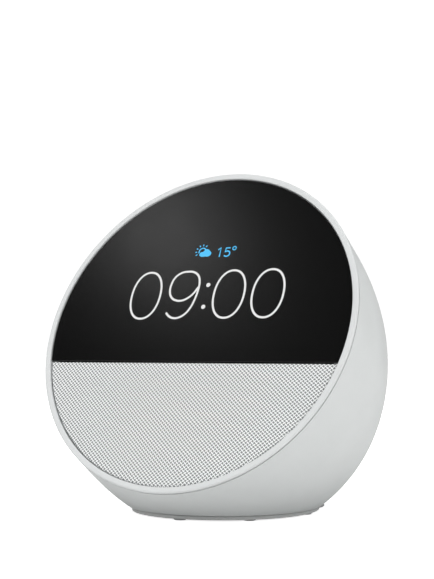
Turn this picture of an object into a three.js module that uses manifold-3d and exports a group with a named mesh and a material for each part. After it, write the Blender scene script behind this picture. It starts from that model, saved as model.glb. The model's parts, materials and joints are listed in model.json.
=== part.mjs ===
// Smart speaker with a round, tilted face: a black lens over a touch display on top, a fabric grille
// over one full-range driver below, three buttons on the crown and a power inlet at the back.
// Millimetres, +Z up, the face looks along -Y, and the origin is the bottom centre of the whole object.
import * as THREE from 'three';
import { mergeVertices } from 'three/addons/utils/BufferGeometryUtils.js';
import Module from 'manifold-3d';

const wasm = await Module();
wasm.setup();

// ---------------------------------------------------------------- driving dimensions (mm)

const GAP = 0.3; // between neighbouring pieces
const MANY = 48; // facets round the face
const FEW = 16; // facets round a small piece
const SOME = 32; // facets round the driver's larger rings
const RIM_ROW = 5; // spacing of the shell's facets up to its widest section
const OUTSIDE_ROWS = 12; // facets from the shell's widest section to its pole
const INSIDE_ROWS = 8;

const FACE_TILT = THREE.MathUtils.degToRad(24.7); // the face leans back from upright
const RIM_R = 56.5; // outer radius of the face
const RIM_LOW = 9.48; // its lowest point above the table

const SHELL_WALL = 2.2;
const SHELL_BELLY = 0.1; // how far the shell swells past its rim
const BELLY_DEPTH = 13; // where it is widest, behind the face
const DOME_LENGTH = 76.5; // from there to the rear pole
const DOME_FULLNESS = 2.05; // exponents of the dome's outline
const DOME_TAPER = 1.35;
const AXIS_DROP = 7.7; // how far the dome's centre line sinks towards the pole
const SHELL_BOTTOM = 1.9; // height of the shell's lower edge

const LIP_WALL = 0.9; // the shell's thin lip at its rim
const LIP_START = 0.55; // depth of the lip's front edge
const LIP_END = 2.5;

const BEZEL_PROUD = 0.5;
const BEZEL_ROUND = 0.9; // width of its rounded outer edge
const BEZEL_WIDTH = 2.3; // from the lens' edge to the rim
const BEZEL_CHAMFER = 0.4; // round its inner edge
const BEZEL_SKIRT_END = 5.0;
const BEZEL_SKIRT_WALL = 1.3;

const LENS_THICKNESS = 1.1;
const CHORD_HEIGHT = -12.7; // lens' straight lower edge, up the face from its centre
const FABRIC_GAP = 0.4;
const FABRIC_FRONT = 0.05;
const FABRIC_THICKNESS = 0.65;

const CARRIER_THICKNESS = 1.6;
const CARRIER_STEP = 0.6; // its upper edge lies this far under the fabric's
const HOLE_R = 1.5; // sound holes in the grille carrier
const HOLE_PITCH = 5.0;

const DISPLAY = { x: 0.8, up: 14, width: 69, height: 42, thickness: 2.0 };
const TRAY_MARGIN = 1;
const TRAY_THICKNESS = 0.8;

const FRAME_THICKNESS = 2.0;
const RIB_WALL = 1.5;

const DRIVER_R = 22; // flange of the 44 mm driver
const DRIVER_CLEARANCE = 1.8; // from its flange to the shell's wall
const OPENING_STEP = 2.5; // the opening in front of it is smaller by this
const CONE_TRAVEL = 1.2; // each way from rest
const FLANGE_THICKNESS = 1.2;
const BASKET_DEPTH = 8.1; // behind the flange
const BASKET_PLATE = 1.2;
const COIL_R = 6.5; // outside radius of the coil's former
const FORMER_WALL = 0.4;
const WINDING = 0.45; // the wire stands out from the former by this
const POLE_CLEARANCE = 0.4;
const MAGNET_THICKNESS = 6;
const MAGNET_BORE_R = 9.5;
const POLE_PLATE_THICKNESS = 2.4; // both the top plate and the yoke's disc

const CHAMBER_WALL = 1.5;
const CHAMBER_END = 44; // depth of its rear wall
const CHAMBER_FLOOR = 5.6; // height above the table

const BOARD_THICKNESS = 1.2;
const BOARD_DEPTH = 10.0;
const BOARD_HALF_WIDTH = 36;
const BOARD_LOW = -6;
const BOARD_HIGH = 34;
const PROCESSOR = { left: -16, right: 10, low: 4, high: 29, height: 2.5 };
const CONNECTOR = { x: 29, width: 8, depth: 6, height: 4 };
const PAD_MARGIN = 2; // the thermal pad lies inside the shield's edges
const PAD_THICKNESS = 1.0;
const SINK_MARGIN = 3; // the heat sink reaches past the shield's edges
const SINK_BASE = 2.2;
const FIN = { count: 5, height: 5, thickness: 1.4 };
const ANTENNA = { x: 43, width: 6, low: -8, high: 14, thickness: 0.6 };
const FLEX = { width: 18, thickness: 0.3, loop: 5.4 };
const FRAME_WINDOW = { left: -24, right: 24, low: 2, high: 26 }; // opening behind the display

const FRAME_SCREW_INSET = 4.2; // from the frame's edge
const FRAME_SCREW_ANGLES = [30, 150, 200, 340];
const FRAME_SCREW_LENGTH = 11;
const SCREW_R = 1.2;
const SCREW_HEAD_R = 2.6;
const SCREW_HEAD = 0.9;
const SCREW_POINT = 1.5; // length of its tapered end
const BOSS_R = 3.0;

const BUTTON_DEPTH = 24; // behind the face, along its axis
const BUTTON_SPACING = 14;
const BUTTON_R = 4.6;
const BUTTON_TRAVEL = 0.5;
const BUTTON_FLANGE_STEP = 0.9; // the flange that keeps it in its hole
const BUTTON_FLANGE = 1.0;
const PLUNGER_R = 1.0;
const PLUNGER_LENGTH = 1.4;
const SWITCH_SIZE = 5.0;
const SWITCH_HEIGHT = 2.3;
const BUTTON_BOARD = { edge: 3, depth: 10, thickness: 1.0 }; // the edge is past its posts
const POST_R = 2.0;
const POST_CLEARANCE = 0.5; // from the outer buttons' flanges
const MIC_PORT_R = 0.6;
const MIC = { width: 3.5, depth: 2.6, height: 1.1 };

const JACK_HEIGHT = 24;
const JACK_R = 4.0;
const JACK_BORE_R = 2.2;
const JACK_BORE_DEPTH = 8.5;
const JACK_LENGTH = 11;
const JACK_RECESS = 2.0;
const JACK_COLLAR_WALL = 1.7;
const COLLAR_LENGTH = 9;
const JACK_PIN_R = 0.8;
const JACK_PIN_LENGTH = 9;

const FOOT_COUNT = 8;
const FOOT_R = 2.0;
const FOOT_HEIGHT = 1.2;
const FOOT_PROUD = 0.5;
const FOOT_INSET = 2.5; // from the base plate's edge to a foot's centre
const FOOT_ROUND = 0.4;
const BASE_BAND = 1.1; // height of the band that shows under the shell
const BASE_INSET = 0.5; // band's step in from the shell's lower edge
const BASE_THICKNESS = 2.7;
const BASE_SPIGOT_GAP = 1.2; // between the plate's raised middle and the shell's wall
const BASE_SCREW_LENGTH = 8.5;
const BASE_SCREW_BACK = 13.5; // behind the base's middle, between two feet
const BASE_BOSS_TOP = 12;
const BASE_RIB = { thickness: 2, reach: 18 };

const BALLAST = { width: 34, length: 40, thickness: 1.8, corner: 4 };
const POWER_CABLE_R = 1.3;
const SPEAKER_CABLE_R = 1.0;

// ---------------------------------------------------------------- what follows from them

const tiltCos = Math.cos(FACE_TILT);
const tiltSin = Math.sin(FACE_TILT);
const FACE_HEIGHT = RIM_LOW + RIM_R * tiltCos;
const LIP_R = RIM_R - LIP_WALL;
const LENS_R = RIM_R - BEZEL_WIDTH;
const CHASSIS_R = RIM_R - SHELL_WALL; // inside radius of the shell behind its lip
const BELLY_R = RIM_R + SHELL_BELLY;
const SHELL_DEPTH = BELLY_DEPTH + DOME_LENGTH;
const LEDGE_DEPTH = LENS_THICKNESS + GAP;
const DISPLAY_DEPTH = LENS_THICKNESS + GAP;
const TRAY_DEPTH = DISPLAY_DEPTH + DISPLAY.thickness + GAP;
const FRAME_DEPTH = TRAY_DEPTH + TRAY_THICKNESS + GAP;
const FRAME_BACK = FRAME_DEPTH + FRAME_THICKNESS;
const CARRIER_DEPTH = FABRIC_FRONT + FABRIC_THICKNESS + GAP;
const CARRIER_BACK = CARRIER_DEPTH + CARRIER_THICKNESS;
const BOARD_BACK = BOARD_DEPTH + BOARD_THICKNESS;
const FABRIC_TOP = CHORD_HEIGHT - FABRIC_GAP;
const BASE_BOTTOM = FOOT_PROUD;
const BASE_TOP = BASE_BOTTOM + BASE_THICKNESS;
const BASE_SCREW_X = DRIVER_R + BOSS_R + GAP; // its bosses stand beside the speaker chamber
const BUTTON_FLANGE_R = BUTTON_R + BUTTON_FLANGE_STEP;

// The driver's axis, up the face from its centre, and the radii that follow from its flange.
const DRIVER_UP = DRIVER_R + DRIVER_CLEARANCE - CHASSIS_R;
const OPENING_R = DRIVER_R - OPENING_STEP;
const SURROUND_R = DRIVER_R - 1.7;
const ROLL_R = DRIVER_R - 4.8;
const CONE_R = DRIVER_R - 6.8;
const MAGNET_R = DRIVER_R - 7.5;
const SPIDER_R = DRIVER_R - 9;
const ROLL_HEIGHT = 1.5 * CONE_TRAVEL;

// Radius of the shell's round section at a depth behind the face, less an inset from its surface.
function shellRadius(depth, inset = 0) {
  const widest = BELLY_R - inset;
  if (depth < BELLY_DEPTH) {
    const k = (BELLY_DEPTH - depth) / BELLY_DEPTH;
    return widest - SHELL_BELLY * k * k;
  }
  const u = Math.min((depth - BELLY_DEPTH) / (DOME_LENGTH - inset), 1);
  return widest * Math.pow(1 - Math.pow(u, DOME_FULLNESS), 1 / DOME_TAPER);
}

// How far the centre of that section lies below the face's own axis.
function shellDrop(depth) {
  const k = 1 - depth / SHELL_DEPTH;
  return AXIS_DROP * (1 - k * k);
}

// What slides into the shell's rim clears its sunk upper side.
const BEZEL_NECK_R = LIP_R - GAP - shellDrop(LIP_END);
const BEZEL_SKIRT_R = CHASSIS_R - GAP - shellDrop(BEZEL_SKIRT_END);
const FRAME_R = BEZEL_SKIRT_R - BEZEL_SKIRT_WALL - GAP;
const FRAME_SCREW_RING = FRAME_R - FRAME_SCREW_INSET;

// The face is placed so that the object's depth is centred on the origin.
function rearReach() {
  let reach = 0;
  for (let depth = 0; depth <= SHELL_DEPTH; depth += 0.5) {
    const top = shellRadius(depth) - shellDrop(depth);
    reach = Math.max(reach, depth * tiltCos + top * tiltSin);
  }
  return reach;
}
const frontReach = (RIM_R - BEZEL_ROUND) * tiltSin + BEZEL_PROUD * tiltCos;
const FACE_Y = (frontReach - rearReach()) / 2;

// Half the width of the shell at a point of its middle plane, at an inset from its surface.
function halfWidth(y, z, inset) {
  const depth = (y - FACE_Y) * tiltCos - (z - FACE_HEIGHT) * tiltSin;
  const up = (y - FACE_Y) * tiltSin + (z - FACE_HEIGHT) * tiltCos + shellDrop(depth);
  const r = shellRadius(Math.max(depth, 0), inset);
  return Math.sqrt(Math.max(r * r - up * up, 0));
}

// Walks from a point inside the shell along +Y or -Y to its surface, at height z.
function surfaceY(z, inset, direction) {
  let inside = FACE_Y + 20;
  let step = 100 * direction;
  for (let i = 0; i < 24; i += 1) {
    step /= 2;
    if (halfWidth(inside + step, z, inset) > 0) {
      inside += step;
    }
  }
  return inside;
}

// ---------------------------------------------------------------- solids

function flipIfInsideOut(positions, index) {
  let volume = 0;
  const a = new THREE.Vector3();
  const b = new THREE.Vector3();
  const c = new THREE.Vector3();
  for (let i = 0; i < index.length; i += 3) {
    a.fromArray(positions, 3 * index[i]);
    b.fromArray(positions, 3 * index[i + 1]);
    c.fromArray(positions, 3 * index[i + 2]);
    volume += a.dot(b.cross(c));
  }
  if (volume < 0) {
    for (let i = 0; i < index.length; i += 3) {
      [index[i], index[i + 1]] = [index[i + 1], index[i]];
    }
  }
}

// A closed three.js geometry as a manifold: shared corners welded, flat triangles left out.
function toSolid(geometry) {
  const bare = new THREE.BufferGeometry();
  bare.setAttribute('position', geometry.getAttribute('position'));
  bare.setIndex(geometry.getIndex());
  const welded = mergeVertices(bare.index ? bare.toNonIndexed() : bare, 1e-4);
  const positions = Float32Array.from(welded.getAttribute('position').array);
  const index = [];
  const all = welded.index.array;
  for (let i = 0; i < all.length; i += 3) {
    if (all[i] !== all[i + 1] && all[i + 1] !== all[i + 2] && all[i + 2] !== all[i]) {
      index.push(all[i], all[i + 1], all[i + 2]);
    }
  }
  flipIfInsideOut(positions, index);
  const triVerts = Uint32Array.from(index);
  return new wasm.Manifold(new wasm.Mesh({ numProp: 3, vertProperties: positions, triVerts }));
}

function toGeometry(solid) {
  const mesh = solid.getMesh();
  const geometry = new THREE.BufferGeometry();
  geometry.setAttribute('position', new THREE.BufferAttribute(mesh.vertProperties, 3));
  geometry.setIndex(new THREE.BufferAttribute(mesh.triVerts, 1));
  geometry.computeVertexNormals();
  return geometry;
}

function joined(first, ...others) {
  return others.reduce((sum, next) => sum.add(next), first);
}

function cut(first, ...others) {
  return others.reduce((rest, next) => rest.subtract(next), first);
}

// Local frames: in the face's frame x is to the right, y runs up the face and z points out of it.
// A depth is a distance behind the face, so it is a negative z.

// Solid turned about the z axis from [radius, z] points.
function turned(points, segments = FEW) {
  const outline = points.map(([r, z]) => new THREE.Vector2(r, z));
  const geometry = new THREE.LatheGeometry(outline, segments);
  geometry.rotateX(Math.PI / 2);
  return toSolid(geometry);
}

// Closed ring of section [radius, depth] points.
function ring(section, segments = FEW) {
  const points = section.map(([r, depth]) => [r, -depth]);
  points.push(points[0]);
  return turned(points, segments);
}

function rod(radius, low, high, segments = FEW) {
  return turned([[0, low], [radius, low], [radius, high], [0, high]], segments);
}

function block(x0, x1, y0, y1, z0, z1) {
  const geometry = new THREE.BoxGeometry(x1 - x0, y1 - y0, z1 - z0);
  geometry.translate((x0 + x1) / 2, (y0 + y1) / 2, (z0 + z1) / 2);
  return toSolid(geometry);
}

function slab(shape, low, high, curveSegments = MANY) {
  const options = { depth: high - low, bevelEnabled: false, curveSegments };
  const geometry = new THREE.ExtrudeGeometry(shape, options);
  geometry.translate(0, 0, low);
  return toSolid(geometry);
}

function roundedRectangle(width, height, corner, x = 0, y = 0) {
  const shape = new THREE.Shape();
  const right = x + width / 2;
  const top = y + height / 2;
  const left = x - width / 2;
  const bottom = y - height / 2;
  shape.moveTo(left + corner, bottom);
  shape.lineTo(right - corner, bottom);
  shape.absarc(right - corner, bottom + corner, corner, -Math.PI / 2, 0);
  shape.absarc(right - corner, top - corner, corner, 0, Math.PI / 2);
  shape.absarc(left + corner, top - corner, corner, Math.PI / 2, Math.PI);
  shape.absarc(left + corner, bottom + corner, corner, Math.PI, 1.5 * Math.PI);
  return shape;
}

// The part of a disc above (side 1) or below (side -1) a level line.
function discSegment(radius, level, side) {
  const start = Math.asin(level / radius);
  const from = side > 0 ? start : Math.PI - start;
  const sweep = Math.PI - 2 * start * side;
  const count = Math.ceil((MANY * sweep) / (2 * Math.PI));
  const points = [];
  for (let i = 0; i <= count; i += 1) {
    const angle = from + (sweep * i) / count;
    points.push(new THREE.Vector2(radius * Math.cos(angle), radius * Math.sin(angle)));
  }
  return new THREE.Shape(points);
}

function tubeAlong(points, radius, steps) {
  const section = new THREE.Shape();
  const sides = 8;
  for (let i = 0; i < sides; i += 1) {
    const angle = (2 * Math.PI * i) / sides;
    const corner = [radius * Math.cos(angle), radius * Math.sin(angle)];
    if (i === 0) {
      section.moveTo(...corner);
    } else {
      section.lineTo(...corner);
    }
  }
  section.closePath();
  const extrudePath = new THREE.CatmullRomCurve3(points);
  return toSolid(new THREE.ExtrudeGeometry(section, { steps, extrudePath, bevelEnabled: false }));
}

// Flat ribbon of a given width whose centre line is a list of [y, z] points.
function ribbon(path, width, thickness) {
  const curve = new THREE.CatmullRomCurve3(path.map(([y, z]) => new THREE.Vector3(y, z, 0)));
  const spine = curve.getSpacedPoints(20);
  const outer = [];
  const inner = [];
  spine.forEach((point, i) => {
    const along = curve.getTangentAt(i / 20);
    const side = new THREE.Vector2(-along.y, along.x).multiplyScalar(thickness / 2);
    outer.push(new THREE.Vector2(point.x + side.x, point.y + side.y));
    inner.unshift(new THREE.Vector2(point.x - side.x, point.y - side.y));
  });
  const geometry = new THREE.ExtrudeGeometry(new THREE.Shape([...outer, ...inner]), {
    depth: width,
    bevelEnabled: false,
  });
  geometry.translate(0, 0, -width / 2);
  // the outline's (x, y) become the piece's (y, z)
  const swap = new THREE.Matrix4().set(0, 0, 1, 0, 1, 0, 0, 0, 0, 1, 0, 0, 0, 0, 0, 1);
  geometry.applyMatrix4(swap);
  return toSolid(geometry);
}

// ---------------------------------------------------------------- scene graph

const speaker = new THREE.Group();

const face = new THREE.Group();
face.position.set(0, FACE_Y, FACE_HEIGHT);
face.rotation.x = Math.PI / 2 - FACE_TILT;
speaker.add(face);

const driver = new THREE.Group();
driver.position.set(0, DRIVER_UP, 0);
face.add(driver);

// The three buttons share one frame on the crown, with z along their common outward direction.
const crownUp = shellRadius(BUTTON_DEPTH) - shellDrop(BUTTON_DEPTH);
const nearby = 0.5;
const crownAhead = shellRadius(BUTTON_DEPTH - nearby) - shellDrop(BUTTON_DEPTH - nearby);
const crownBehind = shellRadius(BUTTON_DEPTH + nearby) - shellDrop(BUTTON_DEPTH + nearby);
const CROWN_LEAN = Math.atan((crownAhead - crownBehind) / (2 * nearby));
const crown = new THREE.Group();
crown.position.set(0, crownUp, -BUTTON_DEPTH);
crown.rotation.x = -Math.PI / 2 - CROWN_LEAN;
face.add(crown);

const JACK_Y = surfaceY(JACK_HEIGHT, 0, 1);
const inlet = new THREE.Group();
inlet.position.set(0, JACK_Y, JACK_HEIGHT);
inlet.rotation.x = -Math.PI / 2;
speaker.add(inlet);

speaker.updateMatrixWorld(true);

function into(group, solid) {
  return toSolid(toGeometry(solid).applyMatrix4(group.matrixWorld));
}

function outOf(group, solid) {
  return toSolid(toGeometry(solid).applyMatrix4(group.matrixWorld.clone().invert()));
}

const finishes = {
  white_plastic: { color: 0xe4e6e6, roughness: 0.55, metalness: 0 },
  bezel_plastic: { color: 0xe9ecec, roughness: 0.35, metalness: 0 },
  lens_glass: { color: 0x0b0b0d, roughness: 0.05, metalness: 0 },
  fabric: { color: 0xdcdddd, roughness: 0.95, metalness: 0 },
  grey_plastic: { color: 0x8d9092, roughness: 0.6, metalness: 0 },
  black_plastic: { color: 0x1b1b1d, roughness: 0.5, metalness: 0 },
  rubber: { color: 0x6d7072, roughness: 0.9, metalness: 0 },
  steel: { color: 0xb4b6b8, roughness: 0.35, metalness: 1 },
  aluminium: { color: 0xc9cbcd, roughness: 0.4, metalness: 1 },
  brass: { color: 0xc8a95a, roughness: 0.3, metalness: 1 },
  board_green: { color: 0x1d5a3a, roughness: 0.5, metalness: 0 },
  copper: { color: 0xb4703d, roughness: 0.35, metalness: 1 },
  paper_cone: { color: 0x2a2a2c, roughness: 0.85, metalness: 0 },
  ferrite: { color: 0x3a3a3d, roughness: 0.7, metalness: 0.2 },
  foam: { color: 0x3b3b3b, roughness: 0.95, metalness: 0 },
  polyimide: { color: 0xb8812c, roughness: 0.4, metalness: 0 },
  thermal_blue: { color: 0x7fa4c8, roughness: 0.8, metalness: 0 },
};

function add(parent, name, solid, finish, place = [0, 0, 0]) {
  const mesh = new THREE.Mesh(toGeometry(solid), new THREE.MeshStandardMaterial(finishes[finish]));
  mesh.name = name;
  mesh.position.set(...place);
  parent.add(mesh);
  return mesh;
}

// ---------------------------------------------------------------- rear shell

// Dome about the face's axis, sunk towards its pole; the profile runs from rim to pole.
function domePoints(inset, start, count) {
  const points = [];
  for (let depth = start; depth < BELLY_DEPTH; depth += RIM_ROW) {
    points.push([shellRadius(depth, inset), depth]);
  }
  for (let i = 0; i < count; i += 1) {
    const depth = BELLY_DEPTH + (DOME_LENGTH - inset) * Math.sin((Math.PI / 2) * (i / count));
    points.push([shellRadius(depth, inset), depth]);
  }
  points.push([0, BELLY_DEPTH + DOME_LENGTH - inset]);
  return points;
}

function sunk(profile) {
  const outline = profile.map(([r, depth]) => new THREE.Vector2(r, -depth));
  const geometry = new THREE.LatheGeometry(outline, MANY);
  geometry.rotateX(Math.PI / 2);
  const position = geometry.getAttribute('position');
  for (let i = 0; i < position.count; i += 1) {
    position.setY(i, position.getY(i) - shellDrop(-position.getZ(i)) + shellDrop(0));
  }
  geometry.applyMatrix4(face.matrixWorld);
  return toSolid(geometry);
}

// Everything inside the shell's outer surface, less an inset, as one plain solid.
function shellCore(inset, start, count) {
  return sunk([[0, start], ...domePoints(inset, start, count)]);
}

const wholeOutside = shellCore(0, LIP_START, OUTSIDE_ROWS);
const bossRoom = shellCore(SHELL_WALL / 2, LIP_END + 1, INSIDE_ROWS);

const openShell = sunk([
  ...domePoints(0, LIP_START, OUTSIDE_ROWS),
  ...domePoints(SHELL_WALL, LIP_END, INSIDE_ROWS).reverse(),
  [LIP_R, LIP_END],
  [LIP_R, LIP_START],
  [shellRadius(LIP_START), LIP_START],
]);

const far = 200;
const belowShell = block(-far, far, -far, far, -far, SHELL_BOTTOM);

function screwPlace(angle) {
  const turn = THREE.MathUtils.degToRad(angle);
  return [FRAME_SCREW_RING * Math.cos(turn), FRAME_SCREW_RING * Math.sin(turn)];
}

function shifted(solid, x, y) {
  return solid.translate([x, y, 0]);
}

const frameBosses = FRAME_SCREW_ANGLES.map((angle) => {
  const boss = rod(BOSS_R, -SHELL_DEPTH, -FRAME_BACK - GAP);
  return into(face, shifted(boss, ...screwPlace(angle)));
});
const framePilots = FRAME_SCREW_ANGLES.map((angle) => {
  const pilot = rod(SCREW_R + GAP, -FRAME_DEPTH - FRAME_SCREW_LENGTH - 1, 0);
  return into(face, shifted(pilot, ...screwPlace(angle)));
});

const footprintFront = surfaceY(SHELL_BOTTOM, BASE_INSET, -1);
const footprintBack = surfaceY(SHELL_BOTTOM, BASE_INSET, 1);
const footprintMiddle = (footprintFront + footprintBack) / 2;
const baseScrewY = footprintMiddle + BASE_SCREW_BACK;

const baseBosses = [-1, 1].flatMap((side) => {
  const x = side * BASE_SCREW_X;
  const boss = shifted(rod(BOSS_R, BASE_TOP + GAP, BASE_BOSS_TOP), x, baseScrewY);
  const rib = block(
    Math.min(x, x + side * BASE_RIB.reach),
    Math.max(x, x + side * BASE_RIB.reach),
    baseScrewY - BASE_RIB.thickness / 2,
    baseScrewY + BASE_RIB.thickness / 2,
    BASE_TOP + GAP,
    BASE_BOSS_TOP,
  );
  return [boss, rib];
});
const basePilots = [-1, 1].map((side) => {
  const pilot = rod(SCREW_R + GAP, 0, BASE_BOSS_TOP - 1);
  return shifted(pilot, side * BASE_SCREW_X, baseScrewY);
});

// Buttons: all levels are heights in the crown's frame, below the shell's surface at the middle.
const flangeSpan = BUTTON_SPACING + BUTTON_FLANGE_R;
const wallDip = crownUp - Math.sqrt(crownUp ** 2 - flangeSpan ** 2);
const FLANGE_TOP = -(wallDip + SHELL_WALL * 1.1 + 2 * GAP);
const FLANGE_BOTTOM = FLANGE_TOP - BUTTON_FLANGE;
const PLUNGER_TOP = FLANGE_BOTTOM - GAP;
const PLUNGER_BOTTOM = PLUNGER_TOP - PLUNGER_LENGTH;
const SWITCH_TOP = PLUNGER_TOP - BUTTON_TRAVEL - GAP;
const SWITCH_BOTTOM = SWITCH_TOP - SWITCH_HEIGHT;
const BUTTON_BOARD_TOP = SWITCH_BOTTOM - GAP;
const BUTTON_BOARD_BOTTOM = BUTTON_BOARD_TOP - BUTTON_BOARD.thickness;
const postX = flangeSpan + POST_R + POST_CLEARANCE;
const wallReach = 8; // more than the wall's thickness plus its dip at the outer buttons

const buttons = [
  { name: 'volume_down', x: -BUTTON_SPACING },
  { name: 'mic_mute', x: 0 },
  { name: 'volume_up', x: BUTTON_SPACING },
];
const micPlaces = [
  { name: 'left', x: -BUTTON_SPACING / 2 },
  { name: 'right', x: BUTTON_SPACING / 2 },
];

const buttonHoles = buttons.map(({ x }) => {
  return into(crown, shifted(rod(BUTTON_R + GAP, -wallReach, wallReach, SOME), x, 0));
});
const micHoles = micPlaces.map(({ x }) => {
  return into(crown, shifted(rod(MIC_PORT_R, -wallReach, wallReach, 10), x, 0));
});
const boardPosts = [-1, 1].map((side) => {
  return into(crown, shifted(rod(POST_R, BUTTON_BOARD_TOP + GAP, -SHELL_WALL), side * postX, 0));
});

const collar = into(inlet, rod(JACK_R + GAP + JACK_COLLAR_WALL, -COLLAR_LENGTH, 4, 28));
const jackHole = into(inlet, rod(JACK_R + GAP, -far / 8, far / 8, 28));

const shellLugs = joined(...frameBosses, ...baseBosses, ...boardPosts, collar).intersect(bossRoom);
const rearShell = cut(
  openShell.add(shellLugs),
  belowShell,
  ...framePilots,
  ...basePilots,
  ...buttonHoles,
  ...micHoles,
  jackHole,
);
add(speaker, 'rear_shell', rearShell, 'white_plastic');

// ---------------------------------------------------------------- face: bezel, lens, grille

const bezel = ring(
  [
    [LENS_R + GAP, BEZEL_CHAMFER / 2 - BEZEL_PROUD],
    [LENS_R + GAP + BEZEL_CHAMFER, -BEZEL_PROUD],
    [RIM_R - BEZEL_ROUND, -BEZEL_PROUD],
    [RIM_R - 0.4 * BEZEL_ROUND, -0.6 * BEZEL_PROUD],
    [RIM_R, 0.05],
    [RIM_R, LIP_START - GAP],
    [BEZEL_NECK_R, LIP_START - GAP],
    [BEZEL_NECK_R, LIP_END - GAP],
    [BEZEL_SKIRT_R, LIP_END - GAP],
    [BEZEL_SKIRT_R, BEZEL_SKIRT_END],
    [BEZEL_SKIRT_R - BEZEL_SKIRT_WALL, BEZEL_SKIRT_END],
    [BEZEL_SKIRT_R - BEZEL_SKIRT_WALL, LEDGE_DEPTH],
    [LENS_R + GAP, LEDGE_DEPTH],
  ],
  MANY,
);
add(face, 'front_bezel', bezel, 'bezel_plastic');

const lens = slab(discSegment(LENS_R, CHORD_HEIGHT, 1), -LENS_THICKNESS, 0);
add(face, 'front_lens', lens, 'lens_glass');

const fabricShape = discSegment(LENS_R, FABRIC_TOP, -1);
const fabric = slab(fabricShape, -FABRIC_FRONT - FABRIC_THICKNESS, -FABRIC_FRONT);
add(face, 'grille_fabric', fabric, 'fabric');

const carrierShape = discSegment(FRAME_R, FABRIC_TOP - CARRIER_STEP, -1);
const rowHeight = HOLE_PITCH * Math.sin(Math.PI / 3);
const rows = Math.ceil(OPENING_R / rowHeight);
for (let row = -rows; row <= rows; row += 1) {
  const shift = row % 2 === 0 ? 0 : HOLE_PITCH / 2;
  for (let column = -rows; column <= rows; column += 1) {
    const x = column * HOLE_PITCH + shift;
    const y = DRIVER_UP + row * rowHeight;
    const inOpening = Math.hypot(x, y - DRIVER_UP) < OPENING_R - HOLE_R;
    const belowEdge = y + HOLE_R < FABRIC_TOP - CARRIER_STEP - 1;
    const inPlate = belowEdge && Math.hypot(x, y) < FRAME_R - 2 * HOLE_R;
    if (inOpening && inPlate) {
      const hole = new THREE.Path();
      hole.absarc(x, y, HOLE_R, 0, 2 * Math.PI, true);
      carrierShape.holes.push(hole);
    }
  }
}
add(face, 'grille_carrier', slab(carrierShape, -CARRIER_BACK, -CARRIER_DEPTH, 3), 'grey_plastic');

// ---------------------------------------------------------------- display stack

const displayShape = roundedRectangle(DISPLAY.width, DISPLAY.height, 1.5, DISPLAY.x, DISPLAY.up);
const displayBack = -DISPLAY_DEPTH - DISPLAY.thickness;
const displayModule = slab(displayShape, displayBack, -DISPLAY_DEPTH, 4);
add(face, 'display_module', displayModule, 'black_plastic');

const trayShape = roundedRectangle(
  DISPLAY.width + 2 * TRAY_MARGIN,
  DISPLAY.height + 2 * TRAY_MARGIN,
  2.5,
  DISPLAY.x,
  DISPLAY.up,
);
add(face, 'display_tray', slab(trayShape, -TRAY_DEPTH - TRAY_THICKNESS, -TRAY_DEPTH, 4), 'steel');

// The flex leaves the display's top edge, turns back through a slot in the frame to the board.
const displayTop = DISPLAY.up + DISPLAY.height / 2;
const flexTurn = displayTop + FLEX.loop;
const flexBoardDepth = BOARD_DEPTH - 0.55;
const displayFlex = ribbon(
  [
    [displayTop + GAP, -DISPLAY_DEPTH - 1],
    [displayTop + 3.2, -DISPLAY_DEPTH - 1.1],
    [flexTurn, -DISPLAY_DEPTH - 3.2],
    [flexTurn + 0.3, -FRAME_DEPTH - 1],
    [flexTurn - 0.6, -FRAME_BACK - 1.4],
    [displayTop + 1.5, -flexBoardDepth],
    [displayTop - 3, -flexBoardDepth],
    [displayTop - 7, -flexBoardDepth],
  ],
  FLEX.width,
  FLEX.thickness,
);
add(face, 'display_flex', displayFlex, 'polyimide');

const boardPillars = [-1, 1].flatMap((side) => [BOARD_LOW + 4, BOARD_HIGH - 4].map((y) => {
  const pillar = rod(2.4, -BOARD_DEPTH + GAP, -FRAME_BACK + 0.5);
  return shifted(pillar, side * (BOARD_HALF_WIDTH - 4), y);
}));
const grilleRib = ring(
  [
    [OPENING_R, CARRIER_BACK + GAP],
    [OPENING_R + RIB_WALL, CARRIER_BACK + GAP],
    [OPENING_R + RIB_WALL, FRAME_DEPTH + 0.5],
    [OPENING_R, FRAME_DEPTH + 0.5],
  ],
  SOME,
).translate([0, DRIVER_UP, 0]);
const flexSlot = FLEX.width / 2 + 3;
const aboveRib = block(-far, far, CHORD_HEIGHT - 1, far, -FRAME_DEPTH, 0);
const frontFrame = cut(
  joined(
    rod(FRAME_R, -FRAME_BACK, -FRAME_DEPTH, MANY),
    cut(grilleRib, aboveRib),
    ...boardPillars,
  ),
  shifted(rod(OPENING_R, -FRAME_BACK - 1, -CARRIER_BACK, SOME), 0, DRIVER_UP),
  block(-flexSlot, flexSlot, flexTurn - 2.6, flexTurn + 1.6, -FRAME_BACK - 1, 0),
  block(FRAME_WINDOW.left, FRAME_WINDOW.right, FRAME_WINDOW.low, FRAME_WINDOW.high, -FRAME_BACK - 1, 0),
  ...FRAME_SCREW_ANGLES.map((angle) => {
    return shifted(rod(SCREW_R + GAP, -FRAME_BACK - 1, 0), ...screwPlace(angle));
  }),
);
add(face, 'front_frame', frontFrame, 'black_plastic');

FRAME_SCREW_ANGLES.forEach((angle, i) => {
  const head = -FRAME_DEPTH + GAP;
  const screw = turned([
    [0, head - FRAME_SCREW_LENGTH],
    [SCREW_R * 0.5, head - FRAME_SCREW_LENGTH],
    [SCREW_R, head - FRAME_SCREW_LENGTH + SCREW_POINT],
    [SCREW_R, head],
    [SCREW_HEAD_R, head],
    [SCREW_HEAD_R, head + SCREW_HEAD * 0.6],
    [SCREW_HEAD_R * 0.7, head + SCREW_HEAD],
    [0, head + SCREW_HEAD],
  ], 16);
  add(face, `frame_screw_${i + 1}`, screw, 'steel', [...screwPlace(angle), 0]);
});

// ---------------------------------------------------------------- electronics behind the display

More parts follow.
